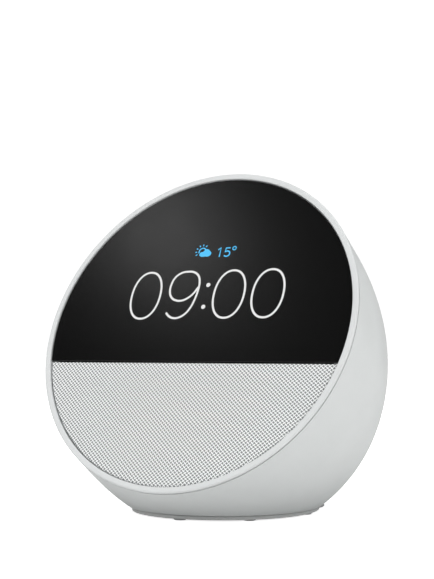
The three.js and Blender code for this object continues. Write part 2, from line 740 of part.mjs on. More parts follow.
const boardShape = roundedRectangle(
  2 * BOARD_HALF_WIDTH,
  BOARD_HIGH - BOARD_LOW,
  3,
  0,
  (BOARD_HIGH + BOARD_LOW) / 2,
);
add(face, 'main_board', slab(boardShape, -BOARD_BACK, -BOARD_DEPTH, 4), 'board_green');

function onBoard(name, { left, right, low, high, height }, finish) {
  const back = -BOARD_BACK - GAP;
  const shape = roundedRectangle(right - left, high - low, 1, (left + right) / 2, (low + high) / 2);
  add(face, name, slab(shape, back - height, back, 2), finish);
}

function connectorAt(x) {
  const half = CONNECTOR.width / 2;
  const high = BOARD_LOW + CONNECTOR.depth;
  return { left: x - half, right: x + half, low: BOARD_LOW, high, height: CONNECTOR.height };
}
onBoard('processor_shield', PROCESSOR, 'steel');
onBoard('power_connector', connectorAt(-CONNECTOR.x), 'white_plastic');
onBoard('speaker_connector', connectorAt(CONNECTOR.x), 'white_plastic');

const padFront = BOARD_BACK + GAP + PROCESSOR.height + GAP;
const padBack = padFront + PAD_THICKNESS;
const thermalPad = block(
  PROCESSOR.left + PAD_MARGIN,
  PROCESSOR.right - PAD_MARGIN,
  PROCESSOR.low + PAD_MARGIN,
  PROCESSOR.high - PAD_MARGIN,
  -padBack,
  -padFront,
);
add(face, 'thermal_pad', thermalPad, 'thermal_blue');

const sinkFront = padBack + GAP;
const sinkBack = sinkFront + SINK_BASE;
const sinkLow = PROCESSOR.low - SINK_MARGIN;
const sinkHigh = PROCESSOR.high + SINK_MARGIN;
const finPitch = (PROCESSOR.right - PROCESSOR.left) / (FIN.count - 1);
const fins = [];
for (let i = 0; i < FIN.count; i += 1) {
  const x = PROCESSOR.left + i * finPitch;
  const half = FIN.thickness / 2;
  fins.push(block(x - half, x + half, sinkLow + 1, sinkHigh - 1, -sinkBack - FIN.height, -sinkBack + 1));
}
const sinkPlate = block(
  PROCESSOR.left - SINK_MARGIN,
  PROCESSOR.right + SINK_MARGIN,
  sinkLow,
  sinkHigh,
  -sinkBack,
  -sinkFront,
);
add(face, 'heat_sink', joined(sinkPlate, ...fins), 'aluminium');

[['left', -1], ['right', 1]].forEach(([name, side]) => {
  const x = side * ANTENNA.x;
  const antennaFront = FRAME_BACK + GAP;
  const antenna = block(
    x - ANTENNA.width / 2,
    x + ANTENNA.width / 2,
    ANTENNA.low,
    ANTENNA.high,
    -antennaFront - ANTENNA.thickness,
    -antennaFront,
  );
  add(face, `antenna_${name}`, antenna, 'copper');
});

// ---------------------------------------------------------------- driver

const FLANGE_FRONT = FRAME_BACK + 1.4;
const FLANGE_BACK = FLANGE_FRONT + FLANGE_THICKNESS;
const gasketInner = SURROUND_R + 2 * GAP;
const gasket = ring(
  [
    [gasketInner, FRAME_BACK + GAP],
    [DRIVER_R - 0.2, FRAME_BACK + GAP],
    [DRIVER_R - 0.2, FLANGE_FRONT - GAP],
    [gasketInner, FLANGE_FRONT - GAP],
  ],
  SOME,
);
add(driver, 'driver_gasket', gasket, 'foam');

const BASKET_BACK = FLANGE_BACK + BASKET_DEPTH;
const basketHole = COIL_R + 1.5;
const basketWall = ring(
  [
    [OPENING_R - 0.1, FLANGE_FRONT],
    [DRIVER_R, FLANGE_FRONT],
    [DRIVER_R, FLANGE_BACK],
    [DRIVER_R - 1.9, FLANGE_BACK],
    [CONE_R, BASKET_BACK],
    [basketHole, BASKET_BACK],
    [basketHole, BASKET_BACK - BASKET_PLATE],
    [CONE_R - 1.4, BASKET_BACK - BASKET_PLATE],
    [DRIVER_R - 3.2, FLANGE_BACK - 0.2],
  ],
  SOME,
);
const windowHalf = DRIVER_R / 4.4;
const windows = [0, 1].map((turn) => {
  const low = -BASKET_BACK + 2 * BASKET_PLATE;
  const window = block(-DRIVER_R, DRIVER_R, -windowHalf, windowHalf, low, -FLANGE_BACK - 0.8);
  return window.rotate([0, 0, 45 + 90 * turn]);
});
add(driver, 'driver_basket', cut(basketWall, ...windows), 'steel');

// Half-roll surround in front of the flange, glued to the cone inside and the basket outside.
const surroundThickness = 0.4;
const surroundDepth = FLANGE_FRONT - GAP;
const surroundInner = CONE_R - 0.6;
const rollSquash = 0.9; // the roll is a little flatter than a half circle
const rollSteps = 5;
const rollOuter = [];
const rollInner = [];
for (let i = 0; i <= rollSteps; i += 1) {
  const angle = (Math.PI * i) / rollSteps;
  const across = Math.cos(angle);
  const forward = Math.sin(angle) * rollSquash;
  const thin = ROLL_HEIGHT - surroundThickness;
  const foot = surroundDepth - surroundThickness;
  rollOuter.push([ROLL_R + ROLL_HEIGHT * across, foot - ROLL_HEIGHT * forward]);
  rollInner.unshift([ROLL_R + thin * across, surroundDepth - thin * forward]);
}
const surround = ring(
  [
    [SURROUND_R, surroundDepth],
    [SURROUND_R, surroundDepth - surroundThickness],
    ...rollOuter,
    [surroundInner, surroundDepth - surroundThickness],
    [surroundInner, surroundDepth],
    ...rollInner,
  ],
  28,
);
add(driver, 'driver_surround', surround, 'rubber');

const coneFront = surroundDepth + GAP;
const coneBack = coneFront + 5.8;
const cone = ring(
  [
    [CONE_R, coneFront],
    [CONE_R - 0.2, coneFront + 0.6],
    [COIL_R + 0.5, coneBack + 0.5],
    [COIL_R + GAP, coneBack],
  ],
  SOME,
);
add(driver, 'driver_cone', cone, 'paper_cone');

const capBack = coneBack - 0.9;
const capOuter = [[0, 2.2], [0.4, 1.9], [0.75, 1.1], [1, 0]]; // share of its radius, height
const capInner = [[0.97, -0.35], [0.7, 0.65], [0.37, 1.45], [0, 1.75]];
const dustCap = turned(
  [...capOuter, ...capInner].map(([share, height]) => [share * COIL_R, height - capBack]),
  28,
);
add(driver, 'dust_cap', dustCap, 'paper_cone');

const PLATE_FRONT = BASKET_BACK + GAP;
const PLATE_BACK = PLATE_FRONT + POLE_PLATE_THICKNESS;
const formerInner = COIL_R - FORMER_WALL;
const windingR = COIL_R + WINDING;
const voiceCoil = ring(
  [
    [formerInner, coneBack - GAP],
    [COIL_R, coneBack - GAP],
    [COIL_R, PLATE_FRONT + 0.4],
    [windingR, PLATE_FRONT + 0.4],
    [windingR, PLATE_BACK - 0.2],
    [COIL_R, PLATE_BACK - 0.2],
    [COIL_R, PLATE_BACK + 0.2],
    [formerInner, PLATE_BACK + 0.2],
  ],
  24,
);
add(driver, 'voice_coil', voiceCoil, 'copper');

const spiderDepth = BASKET_BACK - BASKET_PLATE - GAP - 1.4;
const spiderInner = COIL_R + GAP;
const spiderWave = 0.45;
const spiderThickness = 0.4;
const spiderSteps = 6;
const spiderTop = [];
const spiderUnder = [];
for (let i = 0; i <= spiderSteps; i += 1) {
  const r = spiderInner + ((SPIDER_R - spiderInner) * i) / spiderSteps;
  const atEdge = i === 0 || i === spiderSteps;
  const wave = atEdge ? 0 : spiderWave * (i % 2 === 0 ? -1 : 1);
  spiderTop.push([r, spiderDepth + wave]);
  spiderUnder.unshift([r, spiderDepth + wave + spiderThickness]);
}
add(driver, 'driver_spider', ring([...spiderTop, ...spiderUnder], 24), 'polyimide');

const plateInner = windingR + 0.35;
const plateOuter = MAGNET_R - 2;
const topPlate = ring(
  [
    [plateInner, PLATE_FRONT],
    [plateOuter, PLATE_FRONT],
    [plateOuter, PLATE_BACK],
    [plateInner, PLATE_BACK],
  ],
  SOME,
);
add(driver, 'top_plate', topPlate, 'steel');

const magnetFront = PLATE_BACK + GAP;
const magnetBack = magnetFront + MAGNET_THICKNESS;
const magnet = ring(
  [
    [MAGNET_BORE_R, magnetFront],
    [MAGNET_R, magnetFront],
    [MAGNET_R, magnetBack],
    [MAGNET_BORE_R, magnetBack],
  ],
  SOME,
);
add(driver, 'driver_magnet', magnet, 'ferrite');

const yokeFront = magnetBack + GAP;
const yokeBack = yokeFront + POLE_PLATE_THICKNESS;
const poleR = formerInner - POLE_CLEARANCE;
const yoke = turned([
  [0, -PLATE_FRONT],
  [poleR, -PLATE_FRONT],
  [poleR, -yokeFront],
  [plateOuter, -yokeFront],
  [plateOuter, -yokeBack],
  [0, -yokeBack],
], SOME);
add(driver, 'driver_yoke', yoke, 'steel');

// ---------------------------------------------------------------- speaker chamber

// A tub behind the driver's flange, trimmed to clear the base and the shell's wall.
const chamberInset = SHELL_WALL + 0.6;

function chamberSolid(radius, front, back, floor, inset) {
  const barrel = shifted(rod(radius, -back, -front, SOME), 0, DRIVER_UP);
  const aboveFloor = block(-far, far, -far, far, floor, far);
  const room = shellCore(inset, LIP_END, INSIDE_ROWS);
  return into(face, barrel).intersect(aboveFloor).intersect(room);
}
const chamberFront = FLANGE_BACK + GAP;
const chamberOutside = chamberSolid(
  DRIVER_R,
  chamberFront,
  CHAMBER_END,
  CHAMBER_FLOOR,
  chamberInset,
);
const chamberInside = chamberSolid(
  DRIVER_R - CHAMBER_WALL,
  0,
  CHAMBER_END - CHAMBER_WALL,
  CHAMBER_FLOOR + CHAMBER_WALL,
  chamberInset + CHAMBER_WALL,
);
const cableEntry = { x: 8, up: DRIVER_UP + 7 };
const entryRod = rod(SPEAKER_CABLE_R + GAP, -CHAMBER_END - 1, -CHAMBER_END + CHAMBER_WALL + 1, 12);
const entryHole = into(face, shifted(entryRod, cableEntry.x, cableEntry.up));
const chamber = cut(chamberOutside, chamberInside, entryHole);
add(speaker, 'speaker_chamber', chamber, 'black_plastic');

// ---------------------------------------------------------------- crown: buttons and microphones

const outsideAtCrown = outOf(crown, wholeOutside);

buttons.forEach(({ name, x }) => {
  const stem = shifted(rod(BUTTON_R, FLANGE_TOP - 0.2, wallReach, SOME), x, 0);
  const flange = shifted(rod(BUTTON_FLANGE_R, FLANGE_BOTTOM, FLANGE_TOP, SOME), x, 0);
  add(crown, `${name}_button`, stem.intersect(outsideAtCrown).add(flange), 'white_plastic');
  const plunger = rod(PLUNGER_R, PLUNGER_BOTTOM, PLUNGER_TOP, 12);
  add(crown, `${name}_plunger`, plunger, 'black_plastic', [x, 0, 0]);
  const half = SWITCH_SIZE / 2;
  const well = rod(PLUNGER_R + GAP, PLUNGER_BOTTOM - BUTTON_TRAVEL - GAP, 0, 12);
  const housing = cut(block(-half, half, -half, half, SWITCH_BOTTOM, SWITCH_TOP), well);
  add(crown, `${name}_switch`, housing, 'steel', [x, 0, 0]);
});

const boardHalf = { x: postX + BUTTON_BOARD.edge, y: BUTTON_BOARD.depth / 2 };
const buttonBoard = block(
  -boardHalf.x,
  boardHalf.x,
  -boardHalf.y,
  boardHalf.y,
  BUTTON_BOARD_BOTTOM,
  BUTTON_BOARD_TOP,
);
add(crown, 'button_board', buttonBoard, 'board_green');

micPlaces.forEach(({ name, x }) => {
  const low = BUTTON_BOARD_TOP + GAP;
  const body = block(-MIC.width / 2, MIC.width / 2, -MIC.depth / 2, MIC.depth / 2, low, low + MIC.height);
  add(crown, `microphone_${name}`, body, 'steel', [x, 0, 0]);
});

// ---------------------------------------------------------------- power inlet and cables

const jackBack = -JACK_RECESS - JACK_LENGTH;
const boreBottom = -JACK_RECESS - JACK_BORE_DEPTH;
const jack = turned([
  [JACK_BORE_R, -JACK_RECESS],
  [JACK_R, -JACK_RECESS],
  [JACK_R, jackBack],
  [JACK_PIN_R + GAP, jackBack],
  [JACK_PIN_R + GAP, boreBottom],
  [JACK_BORE_R, boreBottom],
  [JACK_BORE_R, -JACK_RECESS],
], 28);
add(inlet, 'power_jack', jack, 'black_plastic');

const pinBack = jackBack + 0.5;
const pin = turned([
  [0, pinBack],
  [JACK_PIN_R, pinBack],
  [JACK_PIN_R, pinBack + JACK_PIN_LENGTH - 0.5],
  [JACK_PIN_R * 0.5, pinBack + JACK_PIN_LENGTH],
  [0, pinBack + JACK_PIN_LENGTH],
], 14);
add(inlet, 'power_jack_pin', pin, 'brass');

function facePoint(x, up, depth) {
  return new THREE.Vector3(x, up, -depth).applyMatrix4(face.matrixWorld);
}
function inletPoint(x, up, out) {
  return new THREE.Vector3(x, JACK_Y + out, JACK_HEIGHT + up);
}
const cableY = BOARD_LOW + CONNECTOR.depth / 2;
const cableStart = BOARD_BACK + 2 * GAP + CONNECTOR.height;

const powerRoute = [
  facePoint(-CONNECTOR.x, cableY, cableStart),
  facePoint(-CONNECTOR.x, cableY, cableStart + 6),
  facePoint(-28, cableY - 1, cableStart + 20),
  facePoint(-20, cableY - 6, CHAMBER_END + 8),
  inletPoint(-4, 6, jackBack - 16),
  inletPoint(0, 0.5, jackBack - 7),
  inletPoint(0, 0, jackBack - 2 * GAP),
];
add(speaker, 'power_cable', tubeAlong(powerRoute, POWER_CABLE_R, 20), 'black_plastic');

const speakerRoute = [
  facePoint(CONNECTOR.x, cableY, cableStart),
  facePoint(CONNECTOR.x, cableY, cableStart + 6),
  facePoint(27, cableY - 1, cableStart + 20),
  facePoint(20, cableY - 6, CHAMBER_END + 6),
  facePoint(cableEntry.x + 4, cableEntry.up + 2, CHAMBER_END + 8),
  facePoint(cableEntry.x, cableEntry.up, CHAMBER_END + 5),
  facePoint(cableEntry.x, cableEntry.up, CHAMBER_END + 2 * GAP),
];
add(speaker, 'speaker_cable', tubeAlong(speakerRoute, SPEAKER_CABLE_R, 20), 'black_plastic');

// ---------------------------------------------------------------- base

// Outline of the shell's section at its lower edge, at an inset, as a closed shape.
function footprint(inset, count) {
  const front = surfaceY(SHELL_BOTTOM, inset, -1);
  const back = surfaceY(SHELL_BOTTOM, inset, 1);
  const points = [];
  for (let i = 0; i < count; i += 1) {
    const angle = (2 * Math.PI * i) / count;
    const y = (front + back) / 2 - ((back - front) / 2) * Math.cos(angle);
    const side = Math.sin(angle) >= 0 ? 1 : -1;
    points.push(new THREE.Vector2(side * halfWidth(y, SHELL_BOTTOM, inset), y));
  }
  return new THREE.Shape(points);
}

const footSpanX = halfWidth(footprintMiddle, SHELL_BOTTOM, BASE_INSET) - FOOT_INSET;
const footSpanY = (footprintBack - footprintFront) / 2 - FOOT_INSET;
const feet = [];
for (let i = 0; i < FOOT_COUNT; i += 1) {
  const angle = (2 * Math.PI * i) / FOOT_COUNT;
  feet.push([footSpanX * Math.sin(angle), footprintMiddle - footSpanY * Math.cos(angle)]);
}

const footPocketTop = FOOT_HEIGHT + GAP;
const headTop = BASE_BOTTOM + GAP + SCREW_HEAD;
const band = slab(footprint(BASE_INSET, 48), BASE_BOTTOM, BASE_BOTTOM + BASE_BAND);
const spigotOutline = footprint(SHELL_WALL + BASE_SPIGOT_GAP, 36);
const spigot = slab(spigotOutline, BASE_BOTTOM + BASE_BAND - 0.1, BASE_TOP);
const footPockets = feet.map(([x, y]) => {
  return shifted(rod(FOOT_R + GAP, 0, footPocketTop), x, y);
});
const baseScrewHoles = [-1, 1].flatMap((side) => {
  const x = side * BASE_SCREW_X;
  const shaft = shifted(rod(SCREW_R + GAP, 0, BASE_TOP + 1), x, baseScrewY);
  const head = shifted(rod(SCREW_HEAD_R + GAP, 0, headTop + GAP), x, baseScrewY);
  return [shaft, head];
});
const basePlate = cut(band.add(spigot), ...footPockets, ...baseScrewHoles);
add(speaker, 'base_plate', basePlate, 'grey_plastic');

[-1, 1].forEach((side, i) => {
  const screw = turned([
    [0, headTop - SCREW_HEAD],
    [SCREW_HEAD_R * 0.7, headTop - SCREW_HEAD],
    [SCREW_HEAD_R, headTop - SCREW_HEAD * 0.4],
    [SCREW_HEAD_R, headTop],
    [SCREW_R, headTop],
    [SCREW_R, headTop + BASE_SCREW_LENGTH - SCREW_POINT],
    [SCREW_R * 0.5, headTop + BASE_SCREW_LENGTH],
    [0, headTop + BASE_SCREW_LENGTH],
  ], 16);
  add(speaker, `base_screw_${i + 1}`, screw, 'steel', [side * BASE_SCREW_X, baseScrewY, 0]);
});

feet.forEach(([x, y], i) => {
  const foot = turned([
    [0, 0],
    [FOOT_R - FOOT_ROUND, 0],
    [FOOT_R, FOOT_ROUND],
    [FOOT_R, FOOT_HEIGHT],
    [0, FOOT_HEIGHT],
  ]);
  add(speaker, `rubber_foot_${i + 1}`, foot, 'rubber', [x, y, 0]);
});

const ballastShape = roundedRectangle(
  BALLAST.width,
  BALLAST.length,
  BALLAST.corner,
  0,
  footprintMiddle,
);
const ballastLow = BASE_TOP + GAP;
add(speaker, 'ballast_plate', slab(ballastShape, ballastLow, ballastLow + BALLAST.thickness, 4), 'steel');

export default speaker;
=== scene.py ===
"""Smart speaker with a tilted round face: its looks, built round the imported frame.

Metres, +Z up.
"""

import json
import math

import bmesh
import bpy
from mathutils import Matrix, Vector


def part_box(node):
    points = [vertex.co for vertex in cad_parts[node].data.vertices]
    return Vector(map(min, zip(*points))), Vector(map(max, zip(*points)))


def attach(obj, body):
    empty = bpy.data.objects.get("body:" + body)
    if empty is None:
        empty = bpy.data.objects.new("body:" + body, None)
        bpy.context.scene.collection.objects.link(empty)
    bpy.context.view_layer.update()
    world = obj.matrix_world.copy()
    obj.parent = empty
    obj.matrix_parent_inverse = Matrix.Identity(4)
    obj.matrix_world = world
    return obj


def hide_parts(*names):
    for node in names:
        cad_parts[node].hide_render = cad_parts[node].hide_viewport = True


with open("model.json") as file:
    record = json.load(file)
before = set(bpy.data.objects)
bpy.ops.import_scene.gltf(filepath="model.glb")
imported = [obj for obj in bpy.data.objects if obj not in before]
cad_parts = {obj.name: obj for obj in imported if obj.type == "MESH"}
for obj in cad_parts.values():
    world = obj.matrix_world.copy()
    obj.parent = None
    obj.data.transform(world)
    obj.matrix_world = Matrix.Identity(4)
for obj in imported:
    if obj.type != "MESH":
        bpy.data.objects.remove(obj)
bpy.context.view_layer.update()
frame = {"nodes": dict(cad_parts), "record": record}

MM = 0.001
CUT_NEAR = 0.001 * MM
JOIN_NEAR = 0.002 * MM
EDGE_NEAR = 0.01 * MM

# ---------------------------------------------------------------- sizes shared with the frame

TILT = math.radians(24.7)
LENS_R = 54.2 * MM
LENS_THICK = 1.1 * MM
CHORD = -12.7 * MM  # the lens node's lower edge, up the face from its middle
GLASS_EDGE = -12.35 * MM
FABRIC_TOP = -12.7 * MM
RIM_R = 56.5 * MM
BELLY_R = 56.6 * MM
BELLY_DEPTH = 13 * MM
DOME_LENGTH = 76.5 * MM
DOME_FULLNESS = 2.05
DOME_TAPER = 1.35
AXIS_DROP = 7.7 * MM
SHELL_WALL = 2.2 * MM
LIP_R = 55.6 * MM
LIP_START = 0.55 * MM
LIP_END = 2.5 * MM
GAP = 0.3 * MM
BUTTON_DEPTH = 24 * MM
BUTTON_SPACING = 14 * MM
BUTTON_R = 4.6 * MM
BUTTON_FLANGE_R = 5.5 * MM
MIC_PORT_R = 0.6 * MM
BAND_INSET = 0.5 * MM
CUT_REACH = 8 * MM  # how far a hole's cutter reaches each side of the skin
INLET_REACH = 14 * MM
UPWARDS = (0, 0, 1)

# the cloth's weave: repeats per metre across the face and up it, then its threads' shape
WEAVE_ACROSS = 695.0
WEAVE_UP = 810.0
THREAD_WIDTH = 0.29
THREAD_MIDDLE = 0.62
THREAD_SWING = 0.38

lens_low, lens_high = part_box("front_lens")
SHELL_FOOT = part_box("rear_shell")[0].z
jack_low, jack_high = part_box("power_jack")
PLATE_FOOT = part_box("base_plate")[0].z

FACE_Y = lens_low.y - CHORD * math.sin(TILT)
FACE_Z = lens_high.z - LENS_R * math.cos(TILT)
FACE_TURN = math.pi / 2 - TILT
# the face's own frame: x to the right, y up the face, z out of it
FACE = Matrix.Translation((0, FACE_Y, FACE_Z)) @ Matrix.Rotation(FACE_TURN, 4, "X")


def shell_radius(depth, inset=0.0):
    widest = BELLY_R - inset
    if depth < BELLY_DEPTH:
        share = (BELLY_DEPTH - depth) / BELLY_DEPTH
        return widest - (BELLY_R - RIM_R) * share * share
    along = min((depth - BELLY_DEPTH) / (DOME_LENGTH - inset), 1)
    return widest * (1 - along**DOME_FULLNESS) ** (1 / DOME_TAPER)


def shell_drop(depth):
    share = 1 - depth / (BELLY_DEPTH + DOME_LENGTH)
    return AXIS_DROP * (1 - share * share)


def crown_line(depth):
    return shell_radius(depth) - shell_drop(depth)


slope = (crown_line(BUTTON_DEPTH - MM / 2) - crown_line(BUTTON_DEPTH + MM / 2)) / MM
CROWN_LEAN = math.atan(slope)
# the buttons' frame: z points straight out of the shell at the middle button
CROWN = (
    FACE
    @ Matrix.Translation((0, crown_line(BUTTON_DEPTH), -BUTTON_DEPTH))
    @ Matrix.Rotation(-math.pi / 2 - CROWN_LEAN, 4, "X")
)
JACK_MIDDLE = (jack_low + jack_high) / 2
INLET = Matrix.Translation((0, jack_high.y, JACK_MIDDLE.z)) @ Matrix.Rotation(-math.pi / 2, 4, "X")

# ---------------------------------------------------------------- modelling by hand


def only(piece):
    bpy.ops.object.select_all(action="DESELECT")
    piece.select_set(True)
    bpy.context.view_layer.objects.active = piece


def named(name):
    piece = bpy.context.active_object
    piece.name = name
    piece.data.name = name
    return piece


def editing(piece, on=True):
    if on:
        only(piece)
    bpy.ops.object.mode_set(mode="EDIT" if on else "OBJECT")


def take_all():
    bpy.ops.mesh.select_all(action="SELECT")


def draw_out(x, y, z):
    bpy.ops.mesh.extrude_region_move(TRANSFORM_OT_translate={"value": (x, y, z)})


def turn_outwards():
    take_all()
    bpy.ops.mesh.normals_make_consistent(inside=False)


def sliced(piece, at, normal, keep_upper=True, fill=False):
    """Cuts a piece by a plane and leaves it in edit mode. Upper is where the normal points."""
    editing(piece)
    take_all()
    bpy.ops.mesh.bisect(
        plane_co=at,
        plane_no=normal,
        clear_inner=keep_upper,
        clear_outer=not keep_upper,
        use_fill=fill,
        threshold=CUT_NEAR,
    )


def choose(piece, kind, test):
    """In edit mode, selects the vertices, edges or faces whose every corner passes a test."""
    bpy.ops.mesh.select_mode(type=kind)
    bpy.ops.mesh.select_all(action="DESELECT")
    shape = bmesh.from_edit_mesh(piece.data)
    parts = {"VERT": shape.verts, "EDGE": shape.edges, "FACE": shape.faces}[kind]
    for part in parts:
        corners = [part] if kind == "VERT" else part.verts
        if all(test(corner.co) for corner in corners):
            part.select_set(True)
    bmesh.update_edit_mesh(piece.data)


def disc(name, radius, corners, at=(0, 0, 0), filled=True):
    bpy.ops.object.select_all(action="DESELECT")
    bpy.ops.mesh.primitive_circle_add(
        vertices=corners, radius=radius, fill_type="NGON" if filled else "NOTHING", location=at
    )
    return named(name)


def place(piece, where=None):
    """Puts a piece into its place in its mesh, so that its object stays at the origin."""
    only(piece)
    bpy.ops.object.transform_apply(location=True, rotation=True, scale=True)
    if where is not None:
        piece.matrix_world = where
        bpy.ops.object.transform_apply(location=True, rotation=True, scale=True)
    return piece


def modified(piece, kind, **settings):
    only(piece)
    bpy.ops.object.modifier_add(type=kind)
    modifier = piece.modifiers[-1]
    for key, value in settings.items():
        setattr(modifier, key, value)
    bpy.ops.object.modifier_apply(modifier=modifier.name)
    return piece


def rounded(piece, width, segments=3, sharper_than=40):
    return modified(
        piece,
        "BEVEL",
        width=width,
        segments=segments,
        limit_method="ANGLE",
        angle_limit=math.radians(sharper_than),
    )


def carved(piece, cutter, operation="DIFFERENCE"):
    modified(piece, "BOOLEAN", object=cutter, operation=operation, solver="EXACT")
    bpy.data.objects.remove(cutter)
    return piece


def copied(piece, name):
    only(piece)
    bpy.ops.object.duplicate()
    return named(name)


def smooth(piece, sharper_than=35):
    only(piece)
    bpy.ops.object.shade_smooth_by_angle(angle=math.radians(sharper_than))
    return piece


def even_normals(piece):
    """Keeps broad flat faces flat in the light, next to their rounded edges."""
    return modified(smooth(piece), "WEIGHTED_NORMAL", weight=100, keep_sharp=True)


def tidy_mesh(piece):
    editing(piece)
    take_all()
    bpy.ops.mesh.remove_doubles(threshold=JOIN_NEAR)
    turn_outwards()
    editing(piece, False)
    return piece


def post(name, radius, low, high, corners=64, where=None):
    """A straight round solid along z."""
    piece = disc(name, radius, corners, at=(0, 0, low))
    editing(piece)
    take_all()
    draw_out(0, 0, high - low)
    editing(piece, False)
    return tidy_mesh(place(piece, where))


def bar(name, width, height, low, high, where, turn=0.0):
    """A straight bar, level with the xy plane, for cutting marks."""
    bpy.ops.object.select_all(action="DESELECT")
    bpy.ops.mesh.primitive_cube_add(size=1, location=(0, 0, (low + high) / 2))
    piece = named(name)
    piece.scale = (width, height, high - low)
    return place(piece, where @ Matrix.Rotation(turn, 4, "Z"))


def spun(name, outline, steps=160, closed=True, where=None):
    """An outline of (radius, height) corners, drawn corner by corner and spun about z."""
    bpy.ops.object.select_all(action="DESELECT")
    bpy.ops.mesh.primitive_plane_add(size=MM)
    piece = named(name)
    editing(piece)
    bpy.ops.mesh.select_mode(type="VERT")
    bpy.ops.mesh.select_all(action="SELECT")
    bpy.ops.mesh.merge(type="CENTER")
    bpy.ops.transform.translate(value=(outline[0][0], 0, outline[0][1]))
    before = outline[0]
    rest = list(outline[1:]) + ([outline[0]] if closed else [])
    for radius, height in rest:
        step = (radius - before[0], 0, height - before[1])
        bpy.ops.mesh.extrude_vertices_move(TRANSFORM_OT_translate={"value": step})
        before = (radius, height)
    take_all()
    bpy.ops.mesh.remove_doubles(threshold=JOIN_NEAR)
    take_all()
    bpy.ops.mesh.spin(steps=steps, angle=2 * math.pi, center=(0, 0, 0), axis=UPWARDS)
    editing(piece, False)
    return place(tidy_mesh(piece), where)


def bevel_ring(piece, radius, height, width, segments):
    """Rounds the circular edge at a radius and height of a piece spun about z."""

    def on_edge(at):
        off = abs(math.hypot(at.x, at.y) - radius)
        return off < EDGE_NEAR and abs(at.z - height) < EDGE_NEAR

    editing(piece)
    choose(piece, "EDGE", on_edge)
    bpy.ops.mesh.bevel(offset=width, segments=segments, affect="EDGES")
    editing(piece, False)


# ---------------------------------------------------------------- materials: shared effects


def new_group(name, inputs, outputs):
    group = bpy.data.node_groups.new(name, "ShaderNodeTree")
    for label, kind, value in inputs:
        socket = group.interface.new_socket(name=label, in_out="INPUT", socket_type=kind)
        if value is not None:
            socket.default_value = value
    for label, kind in outputs:
        group.interface.new_socket(name=label, in_out="OUTPUT", socket_type=kind)
    enter = group.nodes.new("NodeGroupInput")
    leave = group.nodes.new("NodeGroupOutput")
    return group, enter, leave


class Tree:
    """Short names for adding and joining shader nodes."""

    def __init__(self, tree):
        self.tree = tree

    def add(self, kind, **settings):
        node = self.tree.nodes.new("ShaderNode" + kind)
        for key, value in settings.items():
            setattr(node, key, value)
        return node

    def join(self, source, target):
        self.tree.links.new(source, target)

    def feed(self, value, socket):
        if isinstance(value, bpy.types.NodeSocket):
            self.join(value, socket)
        else:
            socket.default_value = value

    def maths(self, operation, *values):
        node = self.add("Math", operation=operation)
        for value, socket in zip(values, node.inputs):
            self.feed(value, socket)
        return node.outputs[0]

    def noise(self, vector, scale, detail=2.0, roughness=0.5):
        node = self.add("TexNoise")
        self.join(vector, node.inputs["Vector"])
        self.feed(scale, node.inputs["Scale"])
        node.inputs["Detail"].default_value = detail
        node.inputs["Roughness"].default_value = roughness
        return node.outputs["Fac"]

    def mix(self, share, first, second):
        node = self.add("Mix", data_type="RGBA")
        self.feed(share, node.inputs["Factor"])
        self.feed(first, node.inputs[6])
        self.feed(second, node.inputs[7])
        return node.outputs[2]

    def spread(self, value, low, high, out_low, out_high):
        node = self.add("MapRange", interpolation_type="SMOOTHSTEP")
        for item, socket in zip((value, low, high, out_low, out_high), node.inputs):
            self.feed(item, socket)
        return node.outputs[0]

    def bump(self, height, strength, distance):
        node = self.add("Bump")
        self.join(height, node.inputs["Height"])
        self.feed(strength, node.inputs["Strength"])
        self.feed(distance, node.inputs["Distance"])
        return node.outputs["Normal"]

    def either(self, share, first, second):
        """One shader, or a second one where the share is one."""
        node = self.add("MixShader")
        for source, socket in zip((share, first, second), node.inputs):
            self.join(source, socket)
        return node.outputs[0]


COLOR, FLOAT, VECTOR = "NodeSocketColor", "NodeSocketFloat", "NodeSocketVector"


def make_moulded():
    """Fine spark-eroded grain of a moulded part, with faint mottling and handling marks."""
    group, enter, leave = new_group(
        "moulded_grain",
        [
            ("Vector", VECTOR, None),
            ("Color", COLOR, (0.8, 0.8, 0.8, 1)),
            ("Shade", COLOR, (0.7, 0.7, 0.7, 1)),
            ("Roughness", FLOAT, 0.5),
            ("Grain Scale", FLOAT, 3500.0),
            ("Grain Depth", FLOAT, 0.25),
        ],
        [("Color", COLOR), ("Roughness", FLOAT), ("Normal", VECTOR)],
    )
    t = Tree(group)
    at = enter.outputs["Vector"]
    grain = t.noise(at, enter.outputs["Grain Scale"], 3.0, 0.6)
    cloud = t.noise(at, scale=55.0, detail=3.0, roughness=0.55)
    marks = t.noise(at, scale=260.0, detail=4.0, roughness=0.7)
    speckle = t.spread(grain, 0.35, 0.75, 0.0, 0.35)
    shade = t.maths("ADD", t.spread(cloud, 0.3, 0.75, 0.0, 0.45), speckle)
    t.join(t.mix(shade, enter.outputs["Color"], enter.outputs["Shade"]), leave.inputs["Color"])
    swing = t.maths("MULTIPLY", t.maths("SUBTRACT", marks, 0.5), 0.16)
    fine = t.maths("MULTIPLY", t.maths("SUBTRACT", grain, 0.5), 0.10)
    rough = t.maths("ADD", t.maths("ADD", enter.outputs["Roughness"], swing), fine)
    t.join(t.maths("MAXIMUM", rough, 0.02), leave.inputs["Roughness"])
    t.join(t.bump(grain, enter.outputs["Grain Depth"], 0.04 * MM), leave.inputs["Normal"])
    return group


